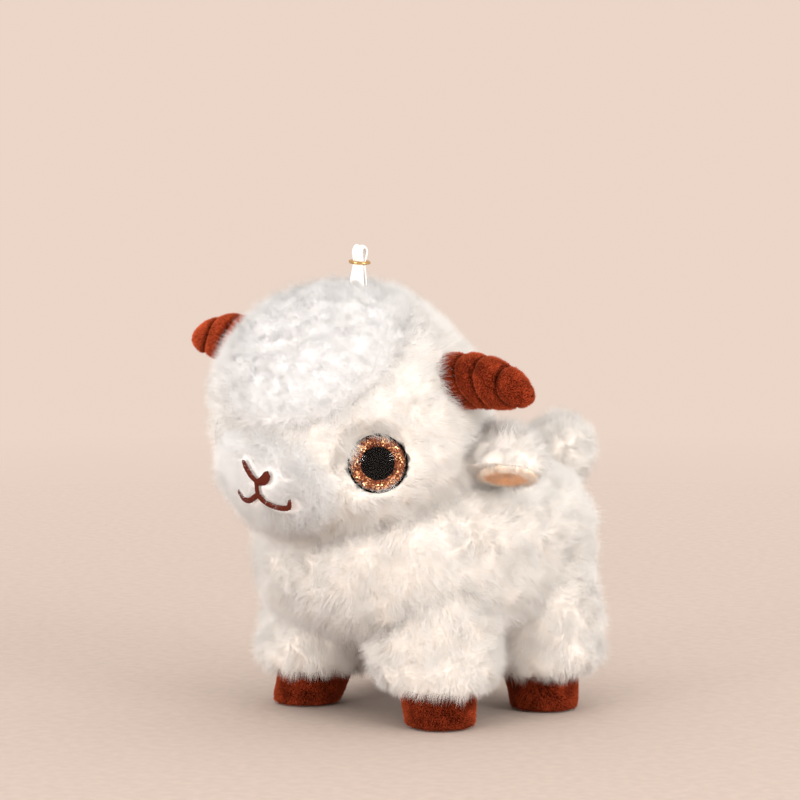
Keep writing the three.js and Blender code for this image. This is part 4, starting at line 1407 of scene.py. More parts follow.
@dataclass
class Leg:
    """One leg: a pompon of long pile over a velour hoof."""

    front: bool
    side: Side

    @property
    def word(self) -> str:
        """The leg's name as the nodes spell it."""
        return f"{'front' if self.front else 'rear'}_{self.side.word}"

    @property
    def sole(self) -> np.ndarray:
        """The middle of the sole."""
        return np.array((self.side.value * 23.7 + 0.0116, -16.1896 if self.front else 20.2104, 0.0))

    @property
    def lean(self) -> np.ndarray:
        """How far the widest part stands from over the sole."""
        inward, back = (5.2, 3.0) if self.front else (3.4, 0.2)
        return np.array((-self.side.value * inward, back, 0.0))

    def stand(self, places: np.ndarray) -> np.ndarray:
        """Leans places from the sole up and sets them on the leg's spot."""
        share = np.minimum(places[:, 2] / 21.0, 1.0)[:, None]
        return places + share * self.lean + self.sole

    def middle_at(self, height: float) -> np.ndarray:
        """The leg's middle at a height."""
        return self.stand(np.array([(0.0, 0.0, height)]))[0]

    def build_fur(self, cloth: Cloth, finish: bpy.types.Material) -> bpy.types.Object:
        """Grows the leg's long pile.

        Args:
            cloth: What grows the hair.
            finish: The wool.

        Returns:
            The piece.
        """
        stops = [
            (0.0, 9.2), (7.8, 9.3), (11.6, 9.9), (13.6, 12.8), (14.4, 18.0), (14.5, 22.5), (14.0, 27.5),
            (12.3, 33.0), (8.8, 38.0), (0.0, 40.0),
        ]
        profile = smooth_row(stops, 46)
        profile[:, 0] = np.clip(profile[:, 0], 0.0, None)
        local, faces = lathe_mesh([tuple(stop) for stop in profile], 56)
        places = self.stand(local)
        out = corner_normals(places, faces)
        skin = Skin.on(f"leg_fur_{self.word}", places, np.array(faces, dtype=object), out, 4.4)
        seed = 20 + 2 * self.side.value + 5 * self.front
        skin.places = places + out * (lumps(places, 7, seed) * 0.5 + tufts(places, 6.5, seed) * 1.4 - 0.5)[:, None]
        skin.shade = np.clip(0.5 + 0.4 * lumps(places, 8, seed + 6), 0, 1)
        hem = smooth_step(16, 9.5, places[:, 2])
        skin.add_comb(DOWN, 0.3 + 0.9 * hem)
        skin.add_comb(drift(places, 5.0, seed + 1), 1.0)
        skin.pile = skin.pile * (1 - 0.35 * hem + 0.2 * lumps(places, 5, seed + 2) * hem)
        if self.word == "front_left":
            skin.pile = skin.pile * (1 + 0.9 * hem * smooth_step(0.9, 1.0, out @ np.array((0.968, -0.25, 0.0))))
        skin.bare(TRUNK_FORM.depth(places) + 5.5)
        skin.bare(places[:, 2] - 9.7)
        pile = replace(LONG, seed=abs(seed))
        piece = cloth.grow(skin.thing(), pile, finish)
        return fit(piece, "body", "wool", f"leg_cover_{self.word}")

    def build_hoof(self, cloth: Cloth, finish: bpy.types.Material) -> bpy.types.Object:
        """Makes the hoof's velour cup, a little dented where it is stuffed.

        Args:
            cloth: What grows the nap.
            finish: The velour.

        Returns:
            The piece.
        """
        stops = [
            (0.0, 0.25), (5.0, 0.25), (7.2, 0.3), (8.0, 1.0), (8.25, 2.4), (8.5, 5.0), (8.9, 8.0), (9.2, 10.6),
            (8.6, 11.6), (0.0, 11.8),
        ]
        profile = smooth_row(stops, 40)
        profile[:, 0] = np.clip(profile[:, 0], 0.0, None)
        profile[:, 1] = np.clip(profile[:, 1], 0.25, None)
        local, faces = lathe_mesh([tuple(stop) for stop in profile], 64)
        places = self.stand(local)
        out = corner_normals(places, faces)
        level = np.array((1.0, 1.0, 0.0))
        seed = 40 + 3 * self.side.value + 7 * self.front
        places = places + out * level * (lumps(places, 6, seed) * 0.45 - 0.2)[:, None]
        skin = Skin.on(f"hoof_{self.word}", places, np.array(faces, dtype=object), out, 0.75)
        skin.add_comb(drift(places, 3.5, seed + 1), 1.0)
        skin.add_comb(DOWN, 0.4)
        streak = 0.5 * lumps(places, 3.0, seed + 2) + 0.5 * lumps(places, 1.1, seed + 4)
        skin.shade = np.clip(0.22 + 0.8 * streak, 0, 1)
        skin.cover = skin.cover * smooth_step(0.5, 1.3, places[:, 2]) * smooth_step(11.7, 11.0, places[:, 2])
        pile = Pile(
            per_mm2=24, width=0.1, clump_gap=1.2, clumping=0.15, length_spread=0.3, jitter=0.5, droop=0,
            softness=0.9, wave=0.1, segments=1, seed=seed,
        )
        piece = cloth.grow(skin.thing(), pile, finish)
        return fit(piece, "body", "velour", f"hoof_cover_{self.word}")


@dataclass
class Trunk:
    """The body's long pile and the tail."""

    inset: float = 1.4
    pile: float = 4.6

    def build_fur(self, cloth: Cloth, finish: bpy.types.Material, legs: Sequence[Leg]) -> bpy.types.Object:
        """Grows the trunk's long pile.

        Args:
            cloth: What grows the hair.
            finish: The wool.
            legs: The legs, under which the skin is bare.

        Returns:
            The piece.
        """
        skin = Skin.of_form("body_fur", TRUNK_FORM, self.inset, self.pile, 6)
        rise = lumps(skin.places, 10, 11) * 0.7 + tufts(skin.places, 7.5, 11) * 1.5 - 0.2
        skin.places = skin.places + skin.out * rise[:, None]
        skin.shade = np.clip(0.5 + 0.45 * lumps(skin.places, 10, 14), 0, 1)
        skin.add_comb(np.array((0, 0.12, 0)), 1.0)
        skin.add_comb(DOWN, 0.2)
        skin.add_comb(drift(skin.places, 5.5, 12), 0.8)
        skin.bare(HEAD_FORM.depth(skin.places) + 3.0)
        for leg in legs:
            axis = unit(leg.middle_at(30) - leg.middle_at(15))
            off = skin.places - leg.middle_at(22)
            aside = off - (off @ axis)[:, None] * axis
            inside = np.linalg.norm(aside, axis=1) - 10.5
            skin.bare(np.where(skin.places[:, 2] < 36, inside, 9.0))
        skin.bare(TAIL_FORM.depth(skin.places) + 3.2)
        skin.cover = skin.cover * (1 - 0.4 * smooth_step(0.6, 0.9, -skin.out[:, 2]))
        pile = replace(LONG, seed=13)
        piece = cloth.grow(skin.thing(), pile, finish)
        return fit(piece, "body", "wool", "body_cover")

    def build_tail(self, cloth: Cloth, finish: bpy.types.Material) -> bpy.types.Object:
        """Grows the tail's pompon.

        Args:
            cloth: What grows the hair.
            finish: The wool.

        Returns:
            The piece.
        """
        skin = Skin.of_form("tail_fur", TAIL_FORM, 1.4, 4.4, 5)
        skin.places = skin.places + skin.out * (tufts(skin.places, 5.5, 15) * 1.5 - 0.6)[:, None]
        skin.add_comb(drift(skin.places, 4.5, 15), 0.9)
        root = np.array(TAIL_FRAME.translation)
        skin.add_comb(unit(skin.places - root), 0.3)
        skin.bare(TRUNK_FORM.depth(skin.places) + 4.0)
        pile = replace(LONG, per_mm2=16.0, seed=17)
        piece = cloth.grow(skin.thing(), pile, finish)
        return fit(piece, "tail", "wool", "tail_cover")


# Ears and horns


@dataclass
class Ear:
    """One ear: a leaf of long pile, sewn round a smooth lining."""

    side: Side
    half_length: float = 13.0
    half_width: float = 8.75
    height: float = 10.4
    middle: float = 6.4
    lift: float = 0.24
    drop: float = 2.4
    lining_middle: float = 11.4
    lining_half: float = 6.7
    lining_width: float = 5.8

    def _placed(self, local: np.ndarray) -> np.ndarray:
        """Moves places from the ear's frame into the toy's."""
        lift = np.stack([local[:, 0] * 0, local[:, 0] * 0, local[:, 0] * self.lift - self.drop], 1)
        return to_frame(ear_frame(self.side), local + lift)

    def _facing(self, faces: Sequence[Sequence[int]]) -> list[tuple[int, ...]]:
        """Turns the faces of a mirrored ear the right way round."""
        rows = [tuple(map(int, face)) for face in faces]
        return rows if self.side is Side.LEFT else [tuple(reversed(face)) for face in rows]

    def build_back(self, cloth: Cloth, finish: bpy.types.Material) -> bpy.types.Object:
        """Grows the outer leaf.

        Args:
            cloth: What grows the hair.
            finish: The wool.

        Returns:
            The piece.
        """
        toward, faces = ball(5)
        local = toward * np.array((self.half_length - 1.2, self.half_width - 1.2, self.height + 0.8))
        flat = 0.35 - 0.25 * np.clip(1 - (toward[:, 0] ** 2 + toward[:, 1] ** 2), 0, 1)
        local[:, 2] = np.where(local[:, 2] > flat, local[:, 2], flat)
        local[:, 0] += self.middle
        places = self._placed(local)
        turned = self._facing(faces)
        out = corner_normals(places, turned)
        upward = np.array(ear_frame(self.side).to_3x3() @ Vector((0, 0, 1)))
        skin = Skin.on(f"ear_fur_{self.side.word}", places, np.array(turned), out, 5.2)
        rim = smooth_step(3.4, 0.8, local[:, 2])
        outward = self._placed(local * (1, 1, 0) + (1, 0, 0)) - self._placed(local * (1, 1, 0))
        skin.add_comb(outward, 0.2)
        skin.add_comb(-upward, 0.4 * rim)
        skin.add_comb(drift(places, 4.5, 22 + self.side.value), 1.0)
        under = smooth_step(0.1, -0.5, out @ upward)
        skin.places = places + out * ((1 - under) * (tufts(places, 5.0, 24) * 1.6 - 0.6))[:, None]
        skin.pile = skin.pile * (1 - 0.4 * rim) * (1 - 0.55 * under) * (1 + 0.5 * smooth_step(5.0, 0.0, local[:, 0]))
        # The pile on the ear's underside is painted paler and whiter: painted light where it faces down into shade.
        skin.shade = 0.5 + 0.5 * under
        lining = np.hypot((local[:, 0] - self.lining_middle) / self.lining_half, local[:, 1] / self.lining_width)
        skin.bare(np.where(under > 0.5, lining - 1.0, 1.0), 0.08)
        skin.bare(local[:, 0] + 0.2)
        pile = replace(LONG, per_mm2=14.0, seed=19)
        piece = cloth.grow(skin.thing(), pile, finish)
        return fit(piece, f"ear_{self.side.word}", "wool", f"ear_back_{self.side.word}")

    def build_lining(self, cloth: Cloth, finish: bpy.types.Material) -> bpy.types.Object:
        """Makes the smooth lining, a shallow dish with a turned edge.

        Args:
            cloth: What grows the nap.
            finish: The lining's velour.

        Returns:
            The piece.
        """
        rows, sides = 16, 64
        turns = 2 * np.pi * np.arange(sides) / sides
        shares = np.linspace(0.02, 1.0, rows)
        under = -0.35 - 0.9 * np.sin(np.clip(shares * 1.25, 0, 1) * np.pi / 2) * (1 - shares**6)
        rings = []
        for heights in (under, np.full(rows, 0.15)):
            for share, height in zip(shares, heights):
                ring = np.stack(
                    [
                        self.lining_middle + share * self.lining_half * np.cos(turns),
                        share * self.lining_width * np.sin(turns),
                        np.full(sides, height),
                    ],
                    1,
                )
                rings.append(ring)
        order = rings[:rows] + rings[rows:][::-1]
        ends = [(self.lining_middle, 0, under[0]), (self.lining_middle, 0, 0.15)]
        local = np.concatenate([*order, ends])
        faces: list[tuple[int, ...]] = []
        count = len(order)
        for side in range(sides):
            after = (side + 1) % sides
            for ring in range(count - 1):
                low, high = ring * sides, (ring + 1) * sides
                faces.append((low + side, low + after, high + after, high + side))
            faces.append((count * sides, after, side))
            faces.append((count * sides + 1, (count - 1) * sides + side, (count - 1) * sides + after))
        places = self._placed(local)
        turned = self._facing(faces)
        out = corner_normals(places, turned)
        skin = Skin.on(f"ear_lining_{self.side.word}_cloth", places, np.array(turned, dtype=object), out, 0.55)
        skin.add_comb(drift(places, 3, 31), 0.7)
        skin.cover = skin.cover * (local[:, 2] < 0.1)
        reach = np.hypot((local[:, 0] - self.lining_middle) / self.lining_half, local[:, 1] / self.lining_width)
        skin.shade = smooth_step(0.62, 0.86, reach)
        skin.pile = skin.pile * (1 + 1.8 * smooth_step(0.8, 1.0, reach))
        pile = Pile(
            per_mm2=18, width=0.12, clump_gap=1.0, clumping=0.3, jitter=0.5, droop=0, softness=0.7, wave=0.1,
            segments=1, seed=23,
        )
        piece = cloth.grow(skin.thing(), pile, finish)
        return fit(piece, f"ear_{self.side.word}", "lining", f"ear_lining_{self.side.word}")


@dataclass
class Horn:
    """One horn: stuffed velour with stitched grooves."""

    side: Side
    radius: float = 7.0
    grooves: tuple[float, ...] = (0.4, 0.56, 0.76)
    groove_depth: float = 0.95
    groove_width: float = 0.6
    groove_lead: float = 4.6

    def build(self, cloth: Cloth, finish: bpy.types.Material) -> bpy.types.Object:
        """Makes the horn's cover with its nap.

        Args:
            cloth: What grows the nap.
            finish: The velour.

        Returns:
            The piece.
        """
        rows, sides = 110, 56
        steps = 1 - (1 - np.linspace(0, 0.9995, rows)) ** 1.25
        even = horn_middles(self.side, 400)
        middles = np.stack([np.interp(steps, np.linspace(0, 1, 400), even[:, axis]) for axis in range(3)], 1)
        length = np.linalg.norm(even[-1] - even[0])
        taper = np.sqrt(1 - steps**5) * (1 - 0.28 * steps**2)
        turns = 2 * np.pi * np.arange(sides) / sides
        lead = self.groove_lead * ((1 - np.sin(turns)) / 2) ** 2
        along = steps[:, None] * length - lead[None, :] + self.groove_lead / 4
        apart = [np.abs(along - spot * length) for spot in self.grooves]
        depth = sum(np.exp(-((gap / self.groove_width) ** 2)) for gap in apart)
        puff = 0.5 * np.clip(np.minimum.reduce(apart) / 2.2, 0, 1) ** 0.5 - 0.5
        radii = taper[:, None] * (self.radius - 0.3 + puff - self.groove_depth * depth)
        places, faces, _ = tube_mesh(middles, radii, sides, up=tuple(np.array(HEAD_FRAME.to_3x3())[:, 2]))
        out = corner_normals(places, faces)
        places = places + out * (lumps(places, 4, 50 + self.side.value) * 0.25)[:, None]
        skin = Skin.on(f"horn_{self.side.word}", places, np.array(faces, dtype=object), out, 0.8)
        in_groove = np.concatenate([depth.ravel(), np.zeros(2)])
        streak = 0.35 * lumps(places, 2.6, 52) + 0.5 * lumps(places, 0.9, 53)
        # Darker in the stitched grooves, which is painted shade there; the streaks are random tone.
        skin.shade = np.clip(0.85 - 1.3 * in_groove + streak, 0, 1)
        skin.pile = skin.pile * (1 - 0.7 * in_groove)
        skin.add_comb(unit(middles[-1] - middles[0]), 0.5)
        skin.add_comb(drift(places, 3, 54), 0.8)
        pile = Pile(
            per_mm2=24, width=0.1, clump_gap=1.1, clumping=0.15, length_spread=0.3, jitter=0.5, droop=0,
            softness=0.9, wave=0.1, segments=1, seed=29,
        )
        piece = cloth.grow(skin.thing(), pile, finish)
        return fit(piece, "head", "velour", f"horn_cover_{self.side.word}")


# Eyes


def loop_mesh(outline: Sequence[tuple[float, float]], sides: int) -> tuple[np.ndarray, list[tuple[int, ...]]]:
    """A closed outline turned about +Z without touching the axis.

    Args:
        outline: Radius and height of each corner, anticlockwise as seen with the radius to the right.
        sides: How many sides it has.

    Returns:
        The corners and the faces.
    """
    turns = 2 * np.pi * np.arange(sides) / sides
    places = np.concatenate(
        [
            np.stack([radius * np.cos(turns), radius * np.sin(turns), np.full(sides, height)], 1)
            for radius, height in outline
        ]
    )
    count = len(outline)
    faces = []
    for ring in range(count):
        low, high = ring * sides, (ring + 1) % count * sides
        for side in range(sides):
            after = (side + 1) % sides
            faces.append((low + side, low + after, high + after, high + side))
    return places, faces


def store_map(thing: bpy.types.Object, name: str, rows: np.ndarray) -> None:
    """Gives a piece a map of two numbers for each corner of its mesh.

    Args:
        thing: The piece.
        name: The map's name.
        rows: The two numbers at each vertex.
    """
    mesh = thing.data
    layer = mesh.uv_layers.new(name=name)
    corners = np.empty(len(mesh.loops), np.int32)
    mesh.loops.foreach_get("vertex_index", corners)
    layer.data.foreach_set("uv", rows[corners].astype(np.float32).ravel())


@dataclass
class Eye:
    """A safety eye: a clear dome over a glitter iris and a pupil, in a cup with a post and a washer."""

    side: Side
    radius: float = 7.0
    rim: float = 0.35
    lip: float = 0.5
    dome: float = 3.3
    dome_edge: float = 0.5
    gap: float = 0.05
    pupil: float = 4.1
    disc: float = 0.6
    floor: float = 1.2
    post: float = 2.0
    post_length: float = 9.0

    def _piece(
        self, name: str, local: np.ndarray, faces: Sequence, material: bpy.types.Material, slot: str, *nodes: str
    ) -> bpy.types.Object:
        """Places a part of the eye.

        Args:
            name: The piece's name without its side.
            local: Its corners in the eye's frame.
            faces: Its faces.
            material: Its material.
            slot: The record's material slot.
            nodes: The nodes that it stands for, without their side.

        Returns:
            The piece.
        """
        places = to_frame(eye_frame(self.side), local)
        piece = new_object(f"{name}_{self.side.word}", places, faces)
        piece.data.materials.append(material)
        return fit(piece, "head", slot, *(f"{node}_{self.side.word}" for node in nodes))

    def build_lens(self, finish: bpy.types.Material) -> bpy.types.Object:
        """Makes the clear dome."""
        radius = self.radius - self.rim - self.gap
        rise = self.dome - self.dome_edge
        curve = (radius**2 + rise**2) / (2 * rise)
        angles = np.linspace(math.asin(radius / curve), 0.0, 20)
        stops = [(0.0, 0.0), (radius - 0.35, 0.0), (radius - 0.3, 0.0), (radius - 0.02, 0.06), (radius, 0.12)]
        stops += [(radius, self.dome_edge - 0.12), (radius, self.dome_edge - 0.08)]
        stops += [(curve * math.sin(a), self.dome - curve + curve * math.cos(a)) for a in angles]
        local, faces = lathe_mesh(stops, 72)
        return self._piece("lens", local, faces, finish, "clear", "eye_lens")

    def build_iris(self, finish: bpy.types.Material) -> bpy.types.Object:
        """Makes the glitter disc, a shallow dish round the pupil."""
        inner, outer = self.pupil - 0.15, self.radius - self.rim - self.gap
        radii = np.linspace(outer, inner, 9)
        top = -0.1 - 0.25 * (1 - (radii / outer) ** 2)
        outline = [(inner, -self.disc - 0.3), (outer, -self.disc - 0.3), *zip(radii, top)]
        local, faces = loop_mesh(outline, 96)
        piece = self._piece("iris", local, faces, finish, "glitter", "eye_iris")
        reach = np.hypot(local[:, 0], local[:, 1])
        rows = np.stack([(reach - inner) / (outer - inner), np.arctan2(local[:, 1], local[:, 0])], 1)
        store_map(piece, "disc", rows)
        return piece

    def build_pupil(self, finish: bpy.types.Material) -> bpy.types.Object:
        """Makes the pupil, a black disc that bulges a little."""
        angles = np.linspace(0.1, math.pi / 2, 8)
        stops = [(0.0, -self.disc - 0.2), (self.pupil - 0.2, -self.disc - 0.2)]
        stops += [(self.pupil * math.cos(a), -0.32 + 0.28 * math.sin(a)) for a in angles]
        local, faces = lathe_mesh(stops, 64)
        return self._piece("pupil", local, faces, finish, "black", "eye_pupil")

    def build_cup(self, finish: bpy.types.Material) -> bpy.types.Object:
        """Makes the cup with its rounded lip, its post and the ridges that the washer bites on."""
        back = -self.disc - 0.6 - self.floor
        end = back - self.post_length
        inner = self.radius - self.rim
        stops = [(0.0, end), (self.post - 0.7, end), (self.post, end + 0.7)]
        for height in np.arange(end + 1.2, back - 0.4, 0.8):
            stops += [(self.post, height), (self.post - 0.18, height + 0.2), (self.post - 0.18, height + 0.5)]
        stops += [(self.post, back), (self.radius - 0.3, back), (self.radius, back + 0.3), (self.radius, 0.0)]
        middle = (self.radius + inner) / 2
        stops += [
            (middle + self.rim / 2 * math.cos(a), self.lip - 0.15 + 0.15 * math.sin(a))
            for a in np.linspace(0, math.pi, 6)
        ]
        stops += [(inner, back + self.floor), (0.0, back + self.floor)]
        local, faces = lathe_mesh(stops, 72)
        return self._piece("cup", local, faces, finish, "black", "eye_cup")

    def build_washer(self, finish: bpy.types.Material) -> bpy.types.Object:
        """Makes the lock washer: a dished disc with a raised collar."""
        front = -self.disc - 0.6 - self.floor - 0.3 - 1.2 - 0.3
        outline = [
            (self.post + 0.1, front - 0.4), (self.post + 0.9, front - 1.0), (5.6, front - 0.75), (6.2, front - 0.6),
            (6.2, front - 0.1), (5.9, front), (3.2, front - 0.15), (self.post + 0.1, front),
        ]
        local, faces = loop_mesh(outline, 64)
        return self._piece("washer", local, faces, finish, "black", "eye_washer")


# Stitching


class StitchTree:
    """The node tree that lays a stitch at each point, and the inputs by which each line sets it."""

    def __init__(self) -> None:
        """Builds the tree."""
        self.tree = bpy.data.node_groups.new("lay_stitches", "GeometryNodeTree")
        face = self.tree.interface
        self.ids: dict[str, str] = {}
        for name, kind in (
            ("Points", "NodeSocketGeometry"),
            ("Lift", "NodeSocketFloat"),
            ("Astray", "NodeSocketFloat"),
            ("Seed", "NodeSocketInt"),
            ("Stitch", "NodeSocketObject"),
            ("Material", "NodeSocketMaterial"),
        ):
            self.ids[name] = face.new_socket(name, in_out="INPUT", socket_type=kind).identifier
        face.new_socket("Geometry", in_out="OUTPUT", socket_type="NodeSocketGeometry")
        self.flow = Flow(self.tree)
        self._build()

    def _build(self) -> None:
        """Adds the nodes."""
        flow = self.flow
        given = flow.node("NodeGroupInput")
        inputs = {name: Term(flow, given.outputs[name]) for name in self.ids}

        def read(name: str, kind: str = "FLOAT_VECTOR") -> Term:
            """A named attribute."""
            node = flow.node("GeometryNodeInputNamedAttribute", {"data_type": kind}, {"Name": name})
            return flow.out(node, "Attribute")

        def keep(shape: Value, name: str, value: Value, domain: str = "POINT", kind: str = "FLOAT_VECTOR") -> Term:
            """Stores an attribute and gives the geometry."""
            return flow.out(
                flow.node(
                    "GeometryNodeStoreNamedAttribute",
                    {"data_type": kind, "domain": domain},
                    {"Geometry": shape, "Name": name, "Value": value},
                )
            )

        place = flow.out(flow.node("GeometryNodeInputPosition"))
        chance = flow.node(
            "FunctionNodeRandomValue",
            {"data_type": "FLOAT_VECTOR"},
            {"Min": (-1, -1, -1), "Max": (1, 1, 1), "Seed": inputs["Seed"]},
        )
        points = flow.out(flow.node("GeometryNodeMeshToPoints", inputs={0: inputs["Points"]}))
        points = keep(points, "root", place + flow.out(chance) * inputs["Astray"])
        stitch = flow.node("GeometryNodeObjectInfo", inputs={"Object": inputs["Stitch"]})
        laid = flow.node(
            "GeometryNodeInstanceOnPoints", inputs={"Points": points, "Instance": flow.out(stitch, "Geometry")}
        )
        shape = flow.out(flow.node("GeometryNodeRealizeInstances", inputs={0: flow.out(laid)}))
        across, above, along = flow.parts(read("shape"))
        way, outward = read("way"), read("out")
        width = read("width", "FLOAT")
        aside = flow.vector("NORMALIZE", flow.vector("CROSS_PRODUCT", way, outward))
        arch = outward * ((1 - along * along) * inputs["Lift"])
        spot = read("root") + way * along + arch + (aside * across + outward * above) * width
        shape = flow.out(flow.node("GeometryNodeSetPosition", inputs={"Geometry": shape, "Position": spot}))
        shape = flow.out(flow.node("GeometryNodeSetShadeSmooth", inputs={"Geometry": shape}))
        length = flow.out(flow.node("ShaderNodeVectorMath", {"operation": "LENGTH"}, {0: way}), "Value") / MM
        around = flow.math("ARCTAN2", above, across) / (2 * math.pi)
        chart = flow.vec(along * length, around, 0.0)
        shape = keep(shape, "thread", chart, "CORNER", "FLOAT2")
        whole = flow.out(flow.node("GeometryNodeRealizeInstances", inputs={0: shape}))
        dressed = flow.node("GeometryNodeSetMaterial", inputs={"Geometry": whole, "Material": inputs["Material"]})
        flow.node("NodeGroupOutput", inputs={0: flow.out(dressed)})


def stitch_blank(sides: int = 8, rings: int = 7) -> bpy.types.Object:
    """A short length of thread, round and closed at its ends, whose shape is kept as shares."""
    heights = np.linspace(-1, 1, rings)
    profile = [(0.0, -1.02), *((math.sqrt(1 - min(abs(h), 0.985) ** 6), h) for h in heights), (0.0, 1.02)]
    rows, faces = lathe_mesh(profile, sides)
    blank = new_object("stitch_blank", rows / MM, faces)
    shape = blank.data.attributes.new("shape", "FLOAT_VECTOR", "POINT")
    shape.data.foreach_set("vector", rows.astype(np.float32).ravel())
    return blank


@dataclass
class Embroidery:
    """The nose and the mouth, in thread laid over the face. Places are across and up on the head."""

    thread: float = 0.3
    spacing: float = 0.24
    lift: float = 0.35
    meeting: tuple[float, float] = (0.0, -11.4)

    def __post_init__(self) -> None:
        """Makes the tree and the stitch that it lays."""
        self.tree = StitchTree()
        self.blank = stitch_blank()

    def nose_lines(self) -> list[list[tuple[float, float, float]]]:
        """The slim arm, the fuller one and the line below: across, up and half-width of each stop."""
        x, z = self.meeting
        return [
            [(x + 0.3, z - 0.4, 0.7), (x - 1.7, z + 1.1, 0.8), (x - 3.2, z + 2.9, 0.9), (x - 3.9, z + 4.2, 0.55)],
            [(x - 0.2, z - 0.4, 0.7), (x + 1.4, z + 0.2, 1.2), (x + 2.7, z + 1.1, 1.45), (x + 3.6, z + 2.2, 0.8)],
            [(x, z, 0.7), (x - 0.1, z - 1.4, 0.65), (x - 0.2, z - 3.2, 0.65)],
        ]

    @staticmethod
    def mouth_lines() -> list[list[tuple[float, float, float]]]:
        """The mouth's two halves: across, up and half-width of each stop."""
        left = [(-6.5, -15.7, 0.6), (-5.6, -16.9, 0.6), (-3.7, -16.9, 0.6), (-1.8, -15.9, 0.6), (-0.2, -14.9, 0.6)]
        right = [(0.0, -14.9, 0.6), (1.7, -16.5, 0.6), (4.9, -17.3, 0.6), (6.9, -17.0, 0.6), (7.7, -15.9, 0.6)]
        return [left, right]

    def distance(self, places: np.ndarray) -> np.ndarray:
        """How far places lie from the stitching, seen from the front."""
        local = to_frame(HEAD_FRAME.inverted(), places)[:, (0, 2)]
        least = np.full(len(places), 99.0)
        for line in self.nose_lines() + self.mouth_lines():
            for x, z, half in smooth_row(line, 40):
                least = np.minimum(least, np.hypot(local[:, 0] - x, local[:, 1] - z) - half)
        return least

    @staticmethod
    def _on_face(spots: np.ndarray, inset: float) -> np.ndarray:
        """Places on the front of the head, for rows of across and up."""
        near, far = np.full(len(spots), -50.0), np.full(len(spots), -5.0)
        for _ in range(30):
            middle = (near + far) / 2
            places = to_frame(HEAD_FRAME, np.stack([spots[:, 0], middle, spots[:, 1]], 1))
            outside = HEAD_FORM.depth(places) > -inset
            near, far = np.where(outside, middle, near), np.where(outside, far, middle)
        return to_frame(HEAD_FRAME, np.stack([spots[:, 0], near, spots[:, 1]], 1))

    def _stitches(
        self, stops: Sequence[tuple[float, float, float]], slant: float, along: bool
    ) -> tuple[np.ndarray, np.ndarray, np.ndarray, np.ndarray]:
        """Works out the stitches of one line.

        Args:
            stops: Across, up and half-width of the line.
            slant: How far the stitches of a satin line lean along it.
            along: Whether the stitches run along the line, as in stem stitch, and not across it.

        Returns:
            Each stitch's middle, half its length as a vector, its outward direction and its half-width.
        """
        fine = smooth_row(stops, 400)
        steps = np.linalg.norm(np.diff(fine[:, :2], axis=0), axis=1)
        reach = np.concatenate([[0], np.cumsum(steps)])
        spacing = 0.62 if along else self.spacing
        spots = np.linspace(0.05, reach[-1] - 0.05, max(int(reach[-1] / spacing), 2))
        rows = np.stack([np.interp(spots, reach, fine[:, axis]) for axis in range(3)], 1)
        later = np.stack([np.interp(spots + 0.2, reach, fine[:, axis]) for axis in range(2)], 1)
        sooner = np.stack([np.interp(spots - 0.2, reach, fine[:, axis]) for axis in range(2)], 1)
        heading = unit(later - sooner)
        middle = self._on_face(rows[:, :2], -self.lift)
        ahead = self._on_face(rows[:, :2] + heading * 0.1, -self.lift)
        aside = self._on_face(rows[:, :2] + np.stack([-heading[:, 1], heading[:, 0]], 1) * 0.1, -self.lift)
        forward, across = unit(ahead - middle), unit(aside - middle)
        outward = unit(np.cross(across, forward))
        outward *= np.sign((outward * (middle - np.array(HEAD_FRAME.translation))).sum(1))[:, None]
        if along:
            way = unit(forward + 0.32 * across) * 0.95
            return middle, way, outward, np.full(len(spots), self.thread * 1.2)
        way = unit(across + slant * forward) * rows[:, 2:3]
        return middle, way, outward, np.full(len(spots), self.thread * 0.75)

    def _sew(
        self, name: str, lines: Sequence[tuple], node: str, material: bpy.types.Material
    ) -> bpy.types.Object:
        """Lays the stitches of some lines as one piece.

        Args:
            name: The piece's name.
            lines: What _stitches gives for each line.
            node: The node that the piece stands for.
            material: The thread.

        Returns:
            The piece.
        """
        middle, way, outward, width = (np.concatenate([line[part] for line in lines]) for part in range(4))
        piece = new_object(name, middle, [])
        for key, rows in (("way", way * MM), ("out", outward)):
            layer = piece.data.attributes.new(key, "FLOAT_VECTOR", "POINT")
            layer.data.foreach_set("vector", rows.astype(np.float32).ravel())
        layer = piece.data.attributes.new("width", "FLOAT", "POINT")
        layer.data.foreach_set("value", (width * MM).astype(np.float32))
        modifier = piece.modifiers.new("stitches", "NODES")
        modifier.node_group = self.tree.tree
        settings = {
            "Lift": 0.25 * MM, "Astray": 0.04 * MM, "Seed": 3, "Stitch": self.blank, "Material": material,
        }
        for key, value in settings.items():
            modifier[self.tree.ids[key]] = value
        in_groove = finished_mesh(piece)
        piece.modifiers.clear()
        piece.data = in_groove
        for key in ("root", "way", "out", "width", "shape"):
            layer = in_groove.attributes.get(key)
            if layer is not None:
                in_groove.attributes.remove(layer)
        in_groove.name = name
        return fit(piece, "head", "thread", node)

    def build_nose(self, material: bpy.types.Material) -> bpy.types.Object:
        """Sews the nose: a slim arm, a fuller one, and the line below."""
        lines = [self._stitches(line, 0.5, False) for line in self.nose_lines()]
        return self._sew("nose_stitching", lines, "nose_embroidery", material)

    def build_mouth(self, material: bpy.types.Material) -> bpy.types.Object:
        """Sews the mouth in one line of stem stitch, doubled for its weight."""
        lines = []
        for drop in (0.24, -0.24):
            for line in self.mouth_lines():
                lines.append(self._stitches([(x, z + drop, half) for x, z, half in line], 0.0, True))
        return self._sew("mouth_stitching", lines, "mouth_embroidery", material)

    def done(self) -> None:
        """Removes the stitch that was laid from."""
        bpy.data.objects.remove(self.blank)


# The hanging loop


